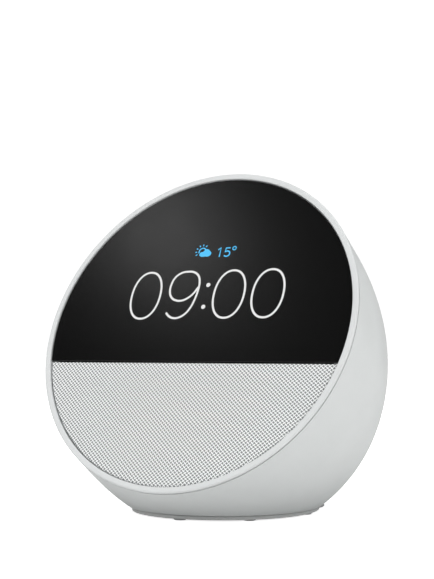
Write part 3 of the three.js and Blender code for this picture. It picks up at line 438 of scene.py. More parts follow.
def make_brushed():
    """Fine rolling or brushing lines on metal, with slight stains."""
    group, enter, leave = new_group(
        "brushed_lines",
        [
            ("Vector", VECTOR, None),
            ("Color", COLOR, (0.6, 0.6, 0.6, 1)),
            ("Stain", COLOR, (0.4, 0.4, 0.4, 1)),
            ("Roughness", FLOAT, 0.35),
            ("Line Scale", FLOAT, 900.0),
        ],
        [("Color", COLOR), ("Roughness", FLOAT), ("Normal", VECTOR)],
    )
    t = Tree(group)
    stretch = t.add("Mapping")
    stretch.inputs["Scale"].default_value = (0.06, 1.0, 1.0)
    t.join(enter.outputs["Vector"], stretch.inputs["Vector"])
    lines = t.noise(stretch.outputs[0], enter.outputs["Line Scale"], 2.0, 0.6)
    stains = t.noise(enter.outputs["Vector"], 120.0, 4.0, 0.65)
    stain = t.spread(stains, 0.45, 0.8, 0.0, 0.7)
    t.join(t.mix(stain, enter.outputs["Color"], enter.outputs["Stain"]), leave.inputs["Color"])
    swing = t.maths("MULTIPLY", t.maths("SUBTRACT", lines, 0.5), 0.3)
    t.join(t.maths("ADD", enter.outputs["Roughness"], swing), leave.inputs["Roughness"])
    t.join(t.bump(lines, 0.25, 0.05 * MM), leave.inputs["Normal"])
    return group


def make_woven():
    """Diagonal plain weave in the face's plane: threads' height, open holes and loose fibres, with
    painted shade in the holes and on the threads' low parts.
    """
    group, enter, leave = new_group(
        "woven_mesh",
        [
            ("Vector", VECTOR, None),
            ("Across", FLOAT, WEAVE_ACROSS),
            ("Up", FLOAT, WEAVE_UP),
            ("Thread Width", FLOAT, THREAD_WIDTH),
        ],
        [("Height", FLOAT), ("Thread", FLOAT), ("Fibre", FLOAT)],
    )
    t = Tree(group)
    split = t.add("SeparateXYZ")
    t.join(enter.outputs["Vector"], split.inputs[0])
    x = t.maths("MULTIPLY", split.outputs[0], enter.outputs["Across"])
    y = t.maths("MULTIPLY", split.outputs[1], enter.outputs["Up"])
    a = t.maths("SUBTRACT", x, y)
    b = t.maths("ADD", x, y)

    def ridge(value):
        off = t.maths("ABSOLUTE", t.maths("SUBTRACT", value, t.maths("ROUND", value)))
        share = t.maths("DIVIDE", off, enter.outputs["Thread Width"])
        return t.maths("MAXIMUM", t.maths("SUBTRACT", 1.0, t.maths("MULTIPLY", share, share)), 0.0)

    swing_a = t.maths("COSINE", t.maths("MULTIPLY", a, math.pi))
    swing_b = t.maths("COSINE", t.maths("MULTIPLY", b, math.pi))
    swing = t.maths("MULTIPLY", t.maths("MULTIPLY", swing_a, swing_b), THREAD_SWING)
    over = t.maths("MULTIPLY", ridge(a), t.maths("ADD", THREAD_MIDDLE, swing))
    under = t.maths("MULTIPLY", ridge(b), t.maths("SUBTRACT", THREAD_MIDDLE, swing))
    height = t.maths("MAXIMUM", over, under)
    fibres = t.noise(enter.outputs["Vector"], 9000.0, 3.0, 0.7)
    t.join(height, leave.inputs["Height"])
    # painted shade: the Thread share falls with the threads' height, so the holes and the low
    # parts of the threads turn dark
    t.join(t.spread(height, 0.03, 0.80, 0.0, 1.0), leave.inputs["Thread"])
    t.join(fibres, leave.inputs["Fibre"])
    return group


MOULDED = make_moulded()
BRUSHED = make_brushed()
WOVEN = make_woven()


def blank(name):
    material = bpy.data.materials.new(name)
    material.use_nodes = True
    t = Tree(material.node_tree)
    shader = material.node_tree.nodes["Principled BSDF"]
    at = t.add("TexCoord").outputs["Object"]
    return material, t, shader, at


def placed_group(t, group, at, **values):
    node = t.add("Group")
    node.node_tree = group
    t.join(at, node.inputs["Vector"])
    for label, value in values.items():
        node.inputs[label.replace("_", " ")].default_value = value
    return node


def rgb(red, green, blue):
    return (red, green, blue, 1.0)


def join_finish(t, node, shader):
    pairs = (("Color", "Base Color"), ("Roughness", "Roughness"), ("Normal", "Normal"))
    for label, target in pairs:
        t.join(node.outputs[label], shader.inputs[target])


def moulded(name, color, shade, roughness, grain=3500.0, depth=0.25, level=0.5, coat=0.0):
    material, t, shader, at = blank(name)
    node = placed_group(
        t,
        MOULDED,
        at,
        Color=rgb(*color),
        Shade=rgb(*shade),
        Roughness=roughness,
        Grain_Scale=grain,
        Grain_Depth=depth,
    )
    join_finish(t, node, shader)
    shader.inputs["Specular IOR Level"].default_value = level
    shader.inputs["Coat Weight"].default_value = coat
    return material


def metal(name, color, stain, roughness, lines=900.0):
    material, t, shader, at = blank(name)
    node = placed_group(
        t, BRUSHED, at, Color=rgb(*color), Stain=rgb(*stain), Roughness=roughness, Line_Scale=lines
    )
    join_finish(t, node, shader)
    shader.inputs["Metallic"].default_value = 1.0
    return material


def make_cloth():
    material, t, shader, at = blank("grille_cloth")
    flat = t.add("Mapping", vector_type="TEXTURE")
    flat.inputs["Location"].default_value = (0, FACE_Y, FACE_Z)
    flat.inputs["Rotation"].default_value = (FACE_TURN, 0, 0)
    t.join(at, flat.inputs["Vector"])
    node = placed_group(t, WOVEN, flat.outputs[0])
    fibre = t.spread(node.outputs["Fibre"], 0.3, 0.7, 0.0, 1.0)
    thread = t.mix(fibre, rgb(0.985, 0.99, 0.99), rgb(0.88, 0.895, 0.90))
    # painted shade: the dark grey goes where the weave is low, in the holes and on the threads'
    # lower parts
    cloth = t.mix(node.outputs["Thread"], rgb(0.16, 0.17, 0.17), thread)
    t.join(cloth, shader.inputs["Base Color"])
    t.join(t.spread(node.outputs["Fibre"], 0.2, 0.8, 0.75, 0.95), shader.inputs["Roughness"])
    t.join(t.bump(node.outputs["Fibre"], 0.35, 0.03 * MM), shader.inputs["Normal"])
    shader.inputs["Sheen Weight"].default_value = 0.15
    shader.inputs["Specular IOR Level"].default_value = 0.25
    return material


def make_glass():
    material, t, shader, at = blank("lens_glass")
    smudge = t.noise(at, scale=70.0, detail=4.0, roughness=0.6)
    pores = t.noise(at, scale=2600.0, detail=2.0, roughness=0.5)
    pore = t.spread(pores, 0.4, 0.7, 0.0, 1.0)
    ink = t.mix(pore, rgb(0.002, 0.002, 0.002), rgb(0.003, 0.003, 0.003))
    t.join(ink, shader.inputs["Base Color"])
    t.join(t.spread(smudge, 0.3, 0.8, 0.215, 0.23), shader.inputs["Roughness"])
    shader.inputs["IOR"].default_value = 1.5
    return material


def glowing(name, color, dim, strength):
    material, t, shader, at = blank(name)
    cells = t.noise(at, scale=6000.0, detail=1.0, roughness=0.5)
    share = t.spread(cells, 0.35, 0.65, 0.0, 1.0)
    light = t.mix(share, color, dim)
    shader.inputs["Base Color"].default_value = rgb(0.02, 0.02, 0.02)
    t.join(light, shader.inputs["Emission Color"])
    shader.inputs["Emission Strength"].default_value = strength
    shader.inputs["Roughness"].default_value = 0.4
    return material


def make_board():
    material, t, shader, at = blank("board_green")
    traces = t.add("TexBrick")
    traces.inputs["Scale"].default_value = 420.0
    traces.inputs["Mortar Size"].default_value = 0.035
    traces.inputs["Color1"].default_value = rgb(0.015, 0.12, 0.055)
    traces.inputs["Color2"].default_value = rgb(0.02, 0.15, 0.07)
    traces.inputs["Mortar"].default_value = rgb(0.06, 0.27, 0.13)
    t.join(at, traces.inputs["Vector"])
    pads = t.add("TexVoronoi")
    pads.inputs["Scale"].default_value = 700.0
    t.join(at, pads.inputs["Vector"])
    pad = t.maths("LESS_THAN", pads.outputs["Distance"], 0.16)
    tin = t.mix(pad, traces.outputs["Color"], rgb(0.62, 0.62, 0.60))
    t.join(tin, shader.inputs["Base Color"])
    t.join(t.maths("SUBTRACT", 0.42, t.maths("MULTIPLY", pad, 0.12)), shader.inputs["Roughness"])
    t.join(t.bump(pad, 0.3, 0.05 * MM), shader.inputs["Normal"])
    shader.inputs["Coat Weight"].default_value = 0.3
    return material


# colour, shade between grains, roughness, grain's scale and depth, specular level, coat
MOULDED_ROWS = {
    "shell_white": ((0.635, 0.652, 0.648), (0.58, 0.597, 0.592), 0.5, 4200.0, 0.3),
    "bezel_white": ((0.645, 0.66, 0.66), (0.60, 0.615, 0.615), 0.32, 5000.0, 0.12),
    "grey_plastic": ((0.43, 0.44, 0.435), (0.37, 0.38, 0.375), 0.55, 3600.0, 0.35),
    "black_plastic": ((0.022, 0.022, 0.024), (0.035, 0.035, 0.036), 0.45, 3000.0, 0.4),
    "display_stack": ((0.012, 0.013, 0.016), (0.02, 0.02, 0.025), 0.18, 6000.0, 0.05),
    "connector_white": ((0.74, 0.71, 0.62), (0.66, 0.63, 0.55), 0.4, 3200.0, 0.2),
    "foot_rubber": ((0.36, 0.37, 0.365), (0.29, 0.30, 0.295), 0.85, 2200.0, 0.6, 0.3),
    "surround_rubber": ((0.03, 0.03, 0.03), (0.05, 0.05, 0.05), 0.6, 2600.0, 0.5),
    "cone_paper": ((0.035, 0.035, 0.037), (0.075, 0.073, 0.07), 0.85, 1500.0, 0.9, 0.25),
    "spider_cloth": ((0.55, 0.36, 0.12), (0.40, 0.24, 0.07), 0.8, 1300.0, 0.9, 0.25),
    "flex_amber": ((0.60, 0.30, 0.05), (0.48, 0.22, 0.03), 0.25, 2400.0, 0.1, 0.5, 0.4),
    "magnet_ferrite": ((0.06, 0.06, 0.065), (0.10, 0.10, 0.10), 0.6, 1800.0, 0.7),
    "gasket_foam": ((0.04, 0.04, 0.04), (0.08, 0.08, 0.08), 0.95, 1100.0, 1.0, 0.2),
    "thermal_pad": ((0.22, 0.38, 0.56), (0.17, 0.30, 0.46), 0.7, 1600.0, 0.4),
}
# colour, stain, roughness, lines' scale
METAL_ROWS = {
    "plated_steel": ((0.58, 0.59, 0.60), (0.46, 0.47, 0.47), 0.32),
    "sink_aluminium": ((0.74, 0.75, 0.76), (0.62, 0.63, 0.64), 0.38, 700.0),
    "pin_brass": ((0.80, 0.60, 0.25), (0.62, 0.42, 0.15), 0.22, 1500.0),
    "copper": ((0.72, 0.36, 0.20), (0.50, 0.22, 0.12), 0.30, 2600.0),
}
FINISHES = {
    "lens_black": make_glass(),
    "grille_cloth": make_cloth(),
    "board_green": make_board(),
}
for name, row in MOULDED_ROWS.items():
    FINISHES[name] = moulded(name, *row)
for name, row in METAL_ROWS.items():
    FINISHES[name] = metal(name, *row)

for subpart in frame["record"]["subparts"]:
    node = frame["nodes"][subpart["node"]]
    node.data.materials.clear()
    node.data.materials.append(FINISHES[subpart["material_slot"]])


def finish(piece, body, slot, *stands_for, material=None):
    piece.data.materials.clear()
    piece.data.materials.append(material or FINISHES[slot])
    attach(piece, body)
    if stands_for:
        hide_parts(*stands_for)
    return piece


# ---------------------------------------------------------------- camera and light

scene = bpy.context.scene
camera = bpy.data.objects.new("camera", bpy.data.cameras.new("camera"))
scene.collection.objects.link(camera)
camera.location = (0.2307, -0.4176, 0.0546)
CAMERA_AIM = Vector((0, -0.01325, 0.0731))
aim = CAMERA_AIM - camera.location
camera.rotation_euler = aim.to_track_quat("-Z", "Y").to_euler()
camera.data.sensor_width = 36
camera.data.lens = 87.73
scene.camera = camera
scene.view_settings.view_transform = "Standard"


def soft_box(name, at, aim_at, width, height, power):
    light = bpy.data.lights.new(name, "AREA")
    light.shape = "RECTANGLE"
    light.size = width
    light.size_y = height
    light.energy = power
    box = bpy.data.objects.new(name, light)
    scene.collection.objects.link(box)
    box.location = at
    box.rotation_euler = (Vector(aim_at) - Vector(at)).to_track_quat("-Z", "Y").to_euler()
    box.visible_glossy = False
    return box


MIDDLE = (0, 0, 0.055)
soft_box("overhead", (0.1, 0.1, 1.3), MIDDLE, 1.6, 1.6, 11)
soft_box("front_left", (-0.9, -1.0, 0.7), MIDDLE, 0.9, 1.2, 8)
soft_box("right_side", (1.3, -0.1, 0.5), MIDDLE, 0.9, 1.2, 9)
soft_box("low_front", (0.2, -1.3, 0.08), MIDDLE, 1.6, 0.4, 4.2)

# a far round lamp whose broad, dim sheen lies on the upper left of the glass
sheen = bpy.data.lights.new("glass_sheen", "AREA")
sheen.shape = "DISK"
sheen.size = 0.11
sheen.energy = 0.128
sheen_lamp = bpy.data.objects.new("glass_sheen", sheen)
scene.collection.objects.link(sheen_lamp)
FACE_OUT = FACE.to_3x3() @ Vector((0, 0, 1))
SHEEN_REACH = 1.1
sheen_spot = FACE @ Vector((-0.021, 0.036, 0))
towards = (sheen_spot - camera.location).normalized()
mirrored = towards - 2 * towards.dot(FACE_OUT) * FACE_OUT
sheen_lamp.location = sheen_spot + SHEEN_REACH * mirrored
sheen_lamp.rotation_euler = (-mirrored).to_track_quat("-Z", "Y").to_euler()

world = bpy.data.worlds.new("studio")
scene.world = world
world.use_nodes = True
sky = Tree(world.node_tree)


def even_sky(node, strength):
    node.inputs["Color"].default_value = rgb(1, 1, 1)
    node.inputs["Strength"].default_value = strength
    return node.outputs[0]


# dim where gloss mirrors it, and bright behind the object
fill = even_sky(world.node_tree.nodes["Background"], 0.42)
backdrop = even_sky(sky.add("Background"), 1.05)
mirror = even_sky(sky.add("Background"), 0.04)
rays = sky.add("LightPath").outputs
lit = sky.either(rays["Is Glossy Ray"], fill, mirror)
seen = sky.either(rays["Is Camera Ray"], lit, backdrop)
sky.join(seen, world.node_tree.nodes["World Output"].inputs["Surface"])

bpy.ops.object.select_all(action="DESELECT")
bpy.ops.mesh.primitive_plane_add(size=12)
floor = named("studio_floor")
floor_material, t, shader, _ = blank("studio_floor")
shader.inputs["Base Color"].default_value = rgb(0.78, 0.78, 0.78)
shader.inputs["Roughness"].default_value = 0.9
shader.inputs["Specular IOR Level"].default_value = 0.1
glow = t.add("Emission")
glow.inputs["Strength"].default_value = 0.85
both = t.add("AddShader")
t.join(shader.outputs[0], both.inputs[0])
t.join(glow.outputs[0], both.inputs[1])
rays = t.add("LightPath").outputs
seen = t.either(rays["Is Camera Ray"], shader.outputs[0], both.outputs[0])
t.join(seen, floor_material.node_tree.nodes["Material Output"].inputs["Surface"])
floor.data.materials.append(floor_material)

# ---------------------------------------------------------------- shell

AROUND = 144
DOME_ROWS = 44
BELLY_STEP = 2.5 * MM
POLE_SHARE = 0.001  # a ring smaller than this is drawn to a point


def dome(name, inset=0.0, start=LIP_START):
    """The shell's smooth skin, drawn ring by ring from its rim to its rear pole."""
    depths = [start]
    while depths[-1] + BELLY_STEP < BELLY_DEPTH:
        depths.append(depths[-1] + BELLY_STEP)
    length = DOME_LENGTH - inset
    for i in range(DOME_ROWS):
        depths.append(BELLY_DEPTH + length * math.sin(math.pi / 2 * i / DOME_ROWS))
    depths.append(BELLY_DEPTH + length)
    centre = (0, -shell_drop(depths[0]), -depths[0])
    piece = disc(name, shell_radius(start, inset), AROUND, at=centre, filled=False)
    editing(piece)
    take_all()
    for before, depth in zip(depths, depths[1:]):
        sink = shell_drop(before) - shell_drop(depth)
        draw_out(0, sink, before - depth)
        share = shell_radius(depth, inset) / shell_radius(before, inset)
        if share > POLE_SHARE:
            middle = (0, -shell_drop(depth), -depth)
            bpy.ops.transform.resize(value=(share, share, 1), center_override=middle)
    bpy.ops.mesh.merge(type="CENTER")
    turn_outwards()
    editing(piece, False)
    return place(piece, FACE)


def filled_rim(piece):
    """Closes the dome's open rim, so that it can trim other pieces."""
    editing(piece)
    bpy.ops.mesh.select_mode(type="EDGE")
    bpy.ops.mesh.select_all(action="DESELECT")
    bpy.ops.mesh.select_non_manifold(extend=False)
    bpy.ops.mesh.edge_face_add()
    turn_outwards()
    editing(piece, False)
    return piece


dome_solid = filled_rim(dome("dome_solid"))

shell = dome("speaker_shell")
sliced(shell, (0, 0, SHELL_FOOT), UPWARDS)
editing(shell, False)
modified(shell, "SOLIDIFY", thickness=SHELL_WALL, offset=-1, use_even_offset=True)
carved(shell, post("lip_cut", LIP_R, -LIP_END, MM, AROUND, FACE))
for x in (-BUTTON_SPACING, 0, BUTTON_SPACING):
    hole = CROWN @ Matrix.Translation((x, 0, 0))
    carved(shell, post("button_cut", BUTTON_R + GAP, -CUT_REACH, CUT_REACH, 64, hole))
for x in (-BUTTON_SPACING / 2, BUTTON_SPACING / 2):
    hole = CROWN @ Matrix.Translation((x, 0, 0))
    carved(shell, post("port_cut", MIC_PORT_R, -CUT_REACH, CUT_REACH, 24, hole))
JACK_R = (jack_high.x - jack_low.x) / 2
carved(shell, post("inlet_cut", JACK_R + GAP, -INLET_REACH, INLET_REACH, 64, INLET))
finish(smooth(shell, 30), "housing", "shell_white", "rear_shell")

COLLAR_R = JACK_R + GAP
COLLAR_FRONT = 0.6 * MM
COLLAR_BACK = -8 * MM
COLLAR_WALL = 1.5 * MM
collar = spun(
    "inlet_collar",
    [
        (COLLAR_R, COLLAR_FRONT),
        (COLLAR_R + COLLAR_WALL, COLLAR_FRONT),
        (COLLAR_R + COLLAR_WALL, COLLAR_BACK),
        (COLLAR_R, COLLAR_BACK),
    ],
    96,
    where=INLET,
)
finish(smooth(rounded(collar, 0.15 * MM)), "housing", "shell_white")

# ---------------------------------------------------------------- bezel, lens

LEDGE = 1.4 * MM
NECK_R = 54.95 * MM
BEZEL_PROUD = 0.5 * MM
BEZEL_SEAT = -0.25 * MM
BEZEL_BACK = -2.2 * MM
BEZEL_LEDGE_R = NECK_R - 2.6 * MM
bezel = spun(
    "face_bezel",
    [
        (LENS_R + GAP, BEZEL_PROUD),
        (RIM_R, BEZEL_PROUD),
        (RIM_R, BEZEL_SEAT),
        (NECK_R, BEZEL_SEAT),
        (NECK_R, BEZEL_BACK),
        (BEZEL_LEDGE_R, BEZEL_BACK),
        (BEZEL_LEDGE_R, -LEDGE),
        (LENS_R + GAP, -LEDGE),
    ],
    192,
)
bevel_ring(bezel, RIM_R, BEZEL_PROUD, 0.6 * MM, 6)
bevel_ring(bezel, LENS_R + GAP, BEZEL_PROUD, 0.3 * MM, 4)
bevel_ring(bezel, RIM_R, BEZEL_SEAT, 0.1 * MM, 2)
place(bezel, FACE)
finish(even_normals(bezel), "housing", "bezel_white", "front_bezel")

lens = disc("cover_lens", LENS_R, 256)
sliced(lens, (0, GLASS_EDGE, 0), (0, 1, 0))
take_all()
draw_out(0, 0, -LENS_THICK)
turn_outwards()
editing(lens, False)
rounded(lens, 0.18 * MM, 3)
place(lens, FACE)
finish(even_normals(lens), "housing", "lens_black", "front_lens")

# ---------------------------------------------------------------- grille cloth

STEPS = 4  # mesh steps for each thread
RELIEF = 0.22 * MM
CLOTH_R = LENS_R
CLOTH_FRONT = -0.05 * MM
CLOTH_ROLL = 0.5 * MM
CLOTH_JOIN = 0.01 * MM


def weave_height(x, y):
    a = x * WEAVE_ACROSS - y * WEAVE_UP
    b = x * WEAVE_ACROSS + y * WEAVE_UP
    swing = THREAD_SWING * math.cos(math.pi * a) * math.cos(math.pi * b)
    over = max(1 - (abs(a - round(a)) / THREAD_WIDTH) ** 2, 0) * (THREAD_MIDDLE + swing)
    under = max(1 - (abs(b - round(b)) / THREAD_WIDTH) ** 2, 0) * (THREAD_MIDDLE - swing)
    return max(over, under)


def make_grille():
    """A grid laid along the threads, trimmed to the face and pressed into the weave's relief."""
    middle_y = (FABRIC_TOP - CLOTH_R) / 2
    threads = 2 * math.ceil(CLOTH_R * WEAVE_ACROSS + (FABRIC_TOP + CLOTH_R) / 2 * WEAVE_UP) + 2
    bpy.ops.object.select_all(action="DESELECT")
    bpy.ops.mesh.primitive_grid_add(
        x_subdivisions=threads * STEPS, y_subdivisions=threads * STEPS, size=threads
    )
    piece = named("grille_cloth")
    shift_a = round(-middle_y * WEAVE_UP)
    shift_b = round(middle_y * WEAVE_UP)
    shift_x, shift_y = shift_a + shift_b, shift_b - shift_a
    half = 0.5
    along = Matrix(
        (
            (half / WEAVE_ACROSS, half / WEAVE_ACROSS, 0, half * shift_x / WEAVE_ACROSS),
            (-half / WEAVE_UP, half / WEAVE_UP, 0, half * shift_y / WEAVE_UP),
            (0, 0, 1, 0),
            (0, 0, 0, 1),
        )
    )
    piece.data.transform(along)
    shape = bmesh.new()
    shape.from_mesh(piece.data)

    def outside(at):
        return math.hypot(at.x, at.y) > CLOTH_R or at.y > FABRIC_TOP

    waste = [face for face in shape.faces if all(outside(v.co) for v in face.verts)]
    bmesh.ops.delete(shape, geom=waste, context="FACES")
    for vertex in shape.verts:
        at = vertex.co
        at.y = min(at.y, FABRIC_TOP)
        reach = math.hypot(at.x, at.y)
        if reach > CLOTH_R:
            at.x *= CLOTH_R / reach
            at.y *= CLOTH_R / reach
        edge = min(CLOTH_R - math.hypot(at.x, at.y), FABRIC_TOP - at.y)
        share = max(1 - edge / CLOTH_ROLL, 0)
        roll = -CLOTH_ROLL * 0.6 * share * share
        at.z = CLOTH_FRONT - RELIEF + RELIEF * weave_height(at.x, at.y) * (1 - share) + roll
    bmesh.ops.remove_doubles(shape, verts=shape.verts, dist=CLOTH_JOIN)
    bmesh.ops.recalc_face_normals(shape, faces=shape.faces)
    if shape.faces[0].normal.z < 0:
        bmesh.ops.reverse_faces(shape, faces=shape.faces)
    shape.to_mesh(piece.data)
    shape.free()
    return place(piece, FACE)


grille = make_grille()
smooth(grille, 80)
finish(grille, "housing", "grille_cloth", "grille_fabric")

# ---------------------------------------------------------------- base and feet

# the shell's section at its lower edge, drawn in a little and let down as a shallow band
BAND_TOP = SHELL_FOOT - 0.16 * MM
BAND_NEAR = 0.005 * MM
BAND_JOIN = 0.02 * MM
band = dome("base_band", BAND_INSET)
sliced(band, (0, 0, SHELL_FOOT), UPWARDS, keep_upper=False, fill=True)
choose(band, "FACE", lambda at: abs(at.z - SHELL_FOOT) < BAND_NEAR)
bpy.ops.mesh.select_all(action="INVERT")
bpy.ops.mesh.delete(type="FACE")
take_all()
bpy.ops.mesh.remove_doubles(threshold=BAND_JOIN)
take_all()
bpy.ops.transform.translate(value=(0, 0, BAND_TOP - SHELL_FOOT))
draw_out(0, 0, PLATE_FOOT - BAND_TOP)
turn_outwards()
editing(band, False)
place(band)
rounded(band, 0.25 * MM, 3, 60)


def footprint(name):
    """A round node's place on the ground, its radius, and its lowest and highest levels."""
    low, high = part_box(name)
    spot = Matrix.Translation(((low.x + high.x) / 2, (low.y + high.y) / 2, 0))
    return spot, (high.x - low.x) / 2, low.z, high.z


FEET = [name for name in frame["nodes"] if name.startswith("rubber_foot")]
for name in FEET:
    spot, radius, low, high = footprint(name)
    carved(band, post("foot_cut", radius + GAP, 0, high + 0.1 * MM, 48, spot))
for name in ("base_screw_1", "base_screw_2"):
    spot, radius, low, high = footprint(name)
    carved(band, post("screw_cut", radius + GAP, 0, 1.5 * MM, 48, spot))
finish(even_normals(band), "housing", "grey_plastic", "base_plate")

for name in FEET:
    spot, radius, low, high = footprint(name)
    outline = [(0, low), (radius, low), (radius, high), (0, high)]
    pad = spun(name + "_pad", outline, 48, closed=False)
    bevel_ring(pad, radius, low, 0.3 * MM, 4)
    place(pad, spot)
    finish(even_normals(pad), "housing", "foot_rubber", name)

# ---------------------------------------------------------------- buttons


def surface_frame(x):
    """A frame on the shell's skin at a sideways place in the crown's frame, z straight out."""
    up = crown_line(BUTTON_DEPTH) + shell_drop(BUTTON_DEPTH)
    turn = math.asin(x / up)
    dip = up * (1 - math.cos(turn))
    return CROWN @ Matrix.Translation((x, 0, -dip)) @ Matrix.Rotation(turn, 4, "Y")


FLANGE_LOW = -4.0 * MM
MARK_DEPTH = 0.2 * MM
RING_MARK = (1.45 * MM, 1.9 * MM)
# each button, its sideways place, and its marks: length and thickness in millimetres, turn
BUTTONS = (
    ("volume_down", -BUTTON_SPACING, [(2.6, 0.5, 0.0)]),
    ("mic_mute", 0.0, [(3.4, 0.45, math.pi / 4)]),
    ("volume_up", BUTTON_SPACING, [(2.6, 0.5, 0.0), (2.6, 0.5, math.pi / 2)]),
)
for name, x, marks in BUTTONS:
    where = CROWN @ Matrix.Translation((x, 0, 0))
    cap = post(name + "_cap", BUTTON_R, FLANGE_LOW, CUT_REACH, 96, where)
    carved(cap, copied(dome_solid, "trim"), "INTERSECT")
    rounded(cap, 0.25 * MM, 3, 50)
    on_skin = surface_frame(x)
    if name == "mic_mute":
        inner, outer = RING_MARK
        outline = [(inner, MM), (outer, MM), (outer, -MARK_DEPTH), (inner, -MARK_DEPTH)]
        carved(cap, spun("ring_mark", outline, 64, where=on_skin))
    for width, thick, turn in marks:
        carved(cap, bar("mark", width * MM, thick * MM, -MARK_DEPTH, MM, on_skin, turn))
    flange = post(name + "_rim", BUTTON_FLANGE_R, FLANGE_LOW - MM, FLANGE_LOW, 64, where)
    finish(even_normals(cap), name + "_key", "shell_white", name + "_button")
    finish(smooth(rounded(flange, 0.1 * MM)), name + "_key", "shell_white")
bpy.data.objects.remove(dome_solid)

# ---------------------------------------------------------------- power inlet

BORE_R = 2.2 * MM
BORE_FLOOR = -8.5 * MM
SOCKET_BACK = -10.9 * MM
PIN_HOLE_R = 1.1 * MM
socket = spun(
    "inlet_socket",
    [
        (BORE_R, 0),
        (JACK_R, 0),
        (JACK_R, SOCKET_BACK),
        (PIN_HOLE_R, SOCKET_BACK),
        (PIN_HOLE_R, BORE_FLOOR),
        (BORE_R, BORE_FLOOR),
    ],
    96,
)
bevel_ring(socket, BORE_R, 0, 0.35 * MM, 3)
bevel_ring(socket, JACK_R, 0, 0.2 * MM, 3)
place(socket, INLET)
finish(even_normals(socket), "housing", "black_plastic", "power_jack")

pin_low, pin_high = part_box("power_jack_pin")
PIN_R = (pin_high.x - pin_low.x) / 2
pin_front = pin_high.y - jack_high.y
pin_back = pin_low.y - jack_high.y
outline = [(0, pin_front), (PIN_R, pin_front), (PIN_R, pin_back), (0, pin_back)]
pin = spun("inlet_pin", outline, 48, closed=False)
bevel_ring(pin, PIN_R, pin_front, 0.45 * MM, 4)
place(pin, INLET)
finish(even_normals(pin), "housing", "pin_brass", "power_jack_pin")

# ---------------------------------------------------------------- what the display shows

WHITE_GLOW = glowing("screen_white", rgb(0.84, 0.84, 0.835), rgb(0.78, 0.78, 0.775), 1.0)
BLUE_GLOW = glowing("screen_blue", rgb(0.085, 0.58, 1.0), rgb(0.07, 0.53, 0.95), 1.0)
SCREEN_LIFT = 0.01 * MM
STROKE_THICK = 0.03 * MM


def bezier(anchors, cyclic, at, size):
    """A curve through anchor points in millimetres, laid flat on the face."""
    bpy.ops.object.select_all(action="DESELECT")
    bpy.ops.curve.primitive_bezier_curve_add(radius=MM)
    piece = bpy.context.active_object
    line = piece.data.splines[0]
    line.bezier_points.add(len(anchors) - 2)
    line.use_cyclic_u = cyclic
    for point, (x, y, kind) in zip(line.bezier_points, anchors):
        point.co = ((at[0] + x * size[0]) * MM, (at[1] + y * size[1]) * MM, 0)
        point.handle_left_type = point.handle_right_type = kind
    return piece


def stroke(name, anchors, width, cyclic=False, at=(0, 0), size=(1, 1)):
    """A line of even width in millimetres, pressed thin. Many anchors need few steps between."""
    piece = bezier(anchors, cyclic, at, size)
    piece.data.dimensions = "3D"
    piece.data.resolution_u = 6 if len(anchors) > 20 else 24
    piece.data.bevel_depth = width / 2 * MM
    piece.data.bevel_resolution = 3
    piece.data.use_fill_caps = True
    bpy.ops.object.convert(target="MESH")
    piece = named(name)
    editing(piece)
    take_all()
    squash = STROKE_THICK / (width * MM)
    bpy.ops.transform.resize(value=(1, 1, squash), center_override=(0, 0, 0))
    editing(piece, False)
    return tidy_mesh(piece)


def curved(*places):
    return [(x, y, "AUTO") for x, y in places]


def cornered(*places):
    return [(x, y, "VECTOR") for x, y in places]


def joined_pieces(name, pieces, material):
    only(pieces[0])
    for piece in pieces[1:]:
        piece.select_set(True)
    if len(pieces) > 1:
        bpy.ops.object.join()
    piece = named(name)
    lift = Matrix.Translation((0, 0, SCREEN_LIFT + STROKE_THICK / 2))
    place(piece, FACE @ lift)
    return finish(smooth(piece, 60), "housing", "display_stack", material=material)


ZERO_POINTS = 28
ZERO_FULLNESS = 0.93  # below one, the oval's shoulders are a little squarer than an ellipse's


def full(share):
    return math.copysign(abs(share) ** ZERO_FULLNESS, share)


TURNS = [2 * math.pi * k / ZERO_POINTS for k in range(ZERO_POINTS)]
ZERO = curved(*((full(math.sin(turn)), full(math.cos(turn))) for turn in TURNS))
NINE = curved(
    (-0.86, -0.76),
    (-0.60, -0.91),
    (-0.28, -0.99),
    (0.08, -0.97),
    (0.44, -0.83),
    (0.72, -0.57),
    (0.90, -0.20),
    (0.98, 0.20),
    (0.96, 0.52),
    (0.80, 0.79),
    (0.46, 0.96),
    (0.03, 1.0),
    (-0.42, 0.95),
    (-0.78, 0.77),
    (-0.95, 0.47),
    (-0.94, 0.15),
    (-0.74, -0.10),
    (-0.40, -0.23),
    (0.0, -0.25),
    (0.38, -0.15),
    (0.70, 0.04),
    (0.96, 0.33),
)
DIGIT_W, DIGIT_H, DIGIT_UP = 5.55, 8.5, 11.4
CLOCK_STROKE = 0.72
DIGITS = (
    ("clock_tens", ZERO, True, -21.6),
    ("clock_hours", NINE, False, -7.4),
    ("clock_minutes_1", ZERO, True, 9.9),
    ("clock_minutes_2", ZERO, True, 24.0),
)
clock = []
for name, anchors, cyclic, x in DIGITS:
    place_at, size = (x, DIGIT_UP), (DIGIT_W, DIGIT_H)
    clock.append(stroke(name, anchors, CLOCK_STROKE, cyclic, place_at, size))
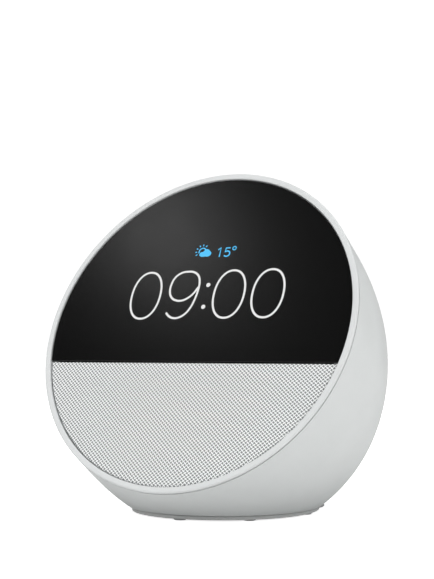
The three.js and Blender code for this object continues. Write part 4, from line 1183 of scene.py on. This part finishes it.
for up in (14.8, 6.9):
    dot = disc("clock_dot", 0.75 * MM, 40, at=(1.45 * MM, up * MM, -STROKE_THICK / 2))
    editing(dot)
    take_all()
    draw_out(0, 0, STROKE_THICK)
    editing(dot, False)
    clock.append(tidy_mesh(place(dot)))
joined_pieces("screen_clock", clock, WHITE_GLOW)

SMALL_STROKE = 0.46
SMALL_SIZE = (0.9, 0.88)
ONE = cornered((-1, 1.05), (0.0, 1.9), (0.0, -1.9))
FIVE = cornered((1.0, 1.75), (-0.75, 1.75), (-0.9, 0.15))
FIVE += curved((0.2, 0.45), (1.15, -0.6), (0.2, -1.75), (-1.1, -1.45))
RING = curved((0, 1), (1, 0), (0, -1), (-1, 0))
DEGREES = [
    stroke("one", ONE, SMALL_STROKE, at=(3.05, 26.75), size=SMALL_SIZE),
    stroke("five", FIVE, SMALL_STROKE, at=(5.7, 26.75), size=SMALL_SIZE),
    stroke("degree", RING, 0.34, True, (8.1, 28.1), (0.62, 0.62)),
]
CLOUD = curved(
    (-2.1, -1.6),
    (0.0, -1.7),
    (2.0, -1.55),
    (2.75, -0.5),
    (1.9, 0.5),
    (0.9, 1.15),
    (-0.4, 1.1),
    (-1.2, 0.3),
    (-2.5, -0.1),
    (-2.85, -0.95),
)


def cloud_piece():
    piece = bezier(CLOUD, True, (-2.45, 26.95), (0.79, 0.93))
    piece.data.dimensions = "2D"
    piece.data.fill_mode = "BOTH"
    piece.data.resolution_u = 16
    piece.data.extrude = STROKE_THICK / 2
    bpy.ops.object.convert(target="MESH")
    return tidy_mesh(named("cloud"))


def around(degrees, reach=1.0):
    angle = math.radians(degrees)
    return reach * math.cos(angle), reach * math.sin(angle)


SUN = curved(*(around(degrees) for degrees in (35, 65, 95, 125, 155, 185, 205)))
weather = [cloud_piece(), stroke("sun", SUN, 0.42, False, (-3.75, 27.2), (1.3, 1.3))]
for degrees in (58, 90, 122, 154, 186, 214):
    ends = cornered(around(degrees, 1.95), around(degrees, 2.6))
    weather.append(stroke("ray", ends, 0.38, False, (-3.85, 27.3)))
joined_pieces("screen_weather", weather + DEGREES, BLUE_GLOW)
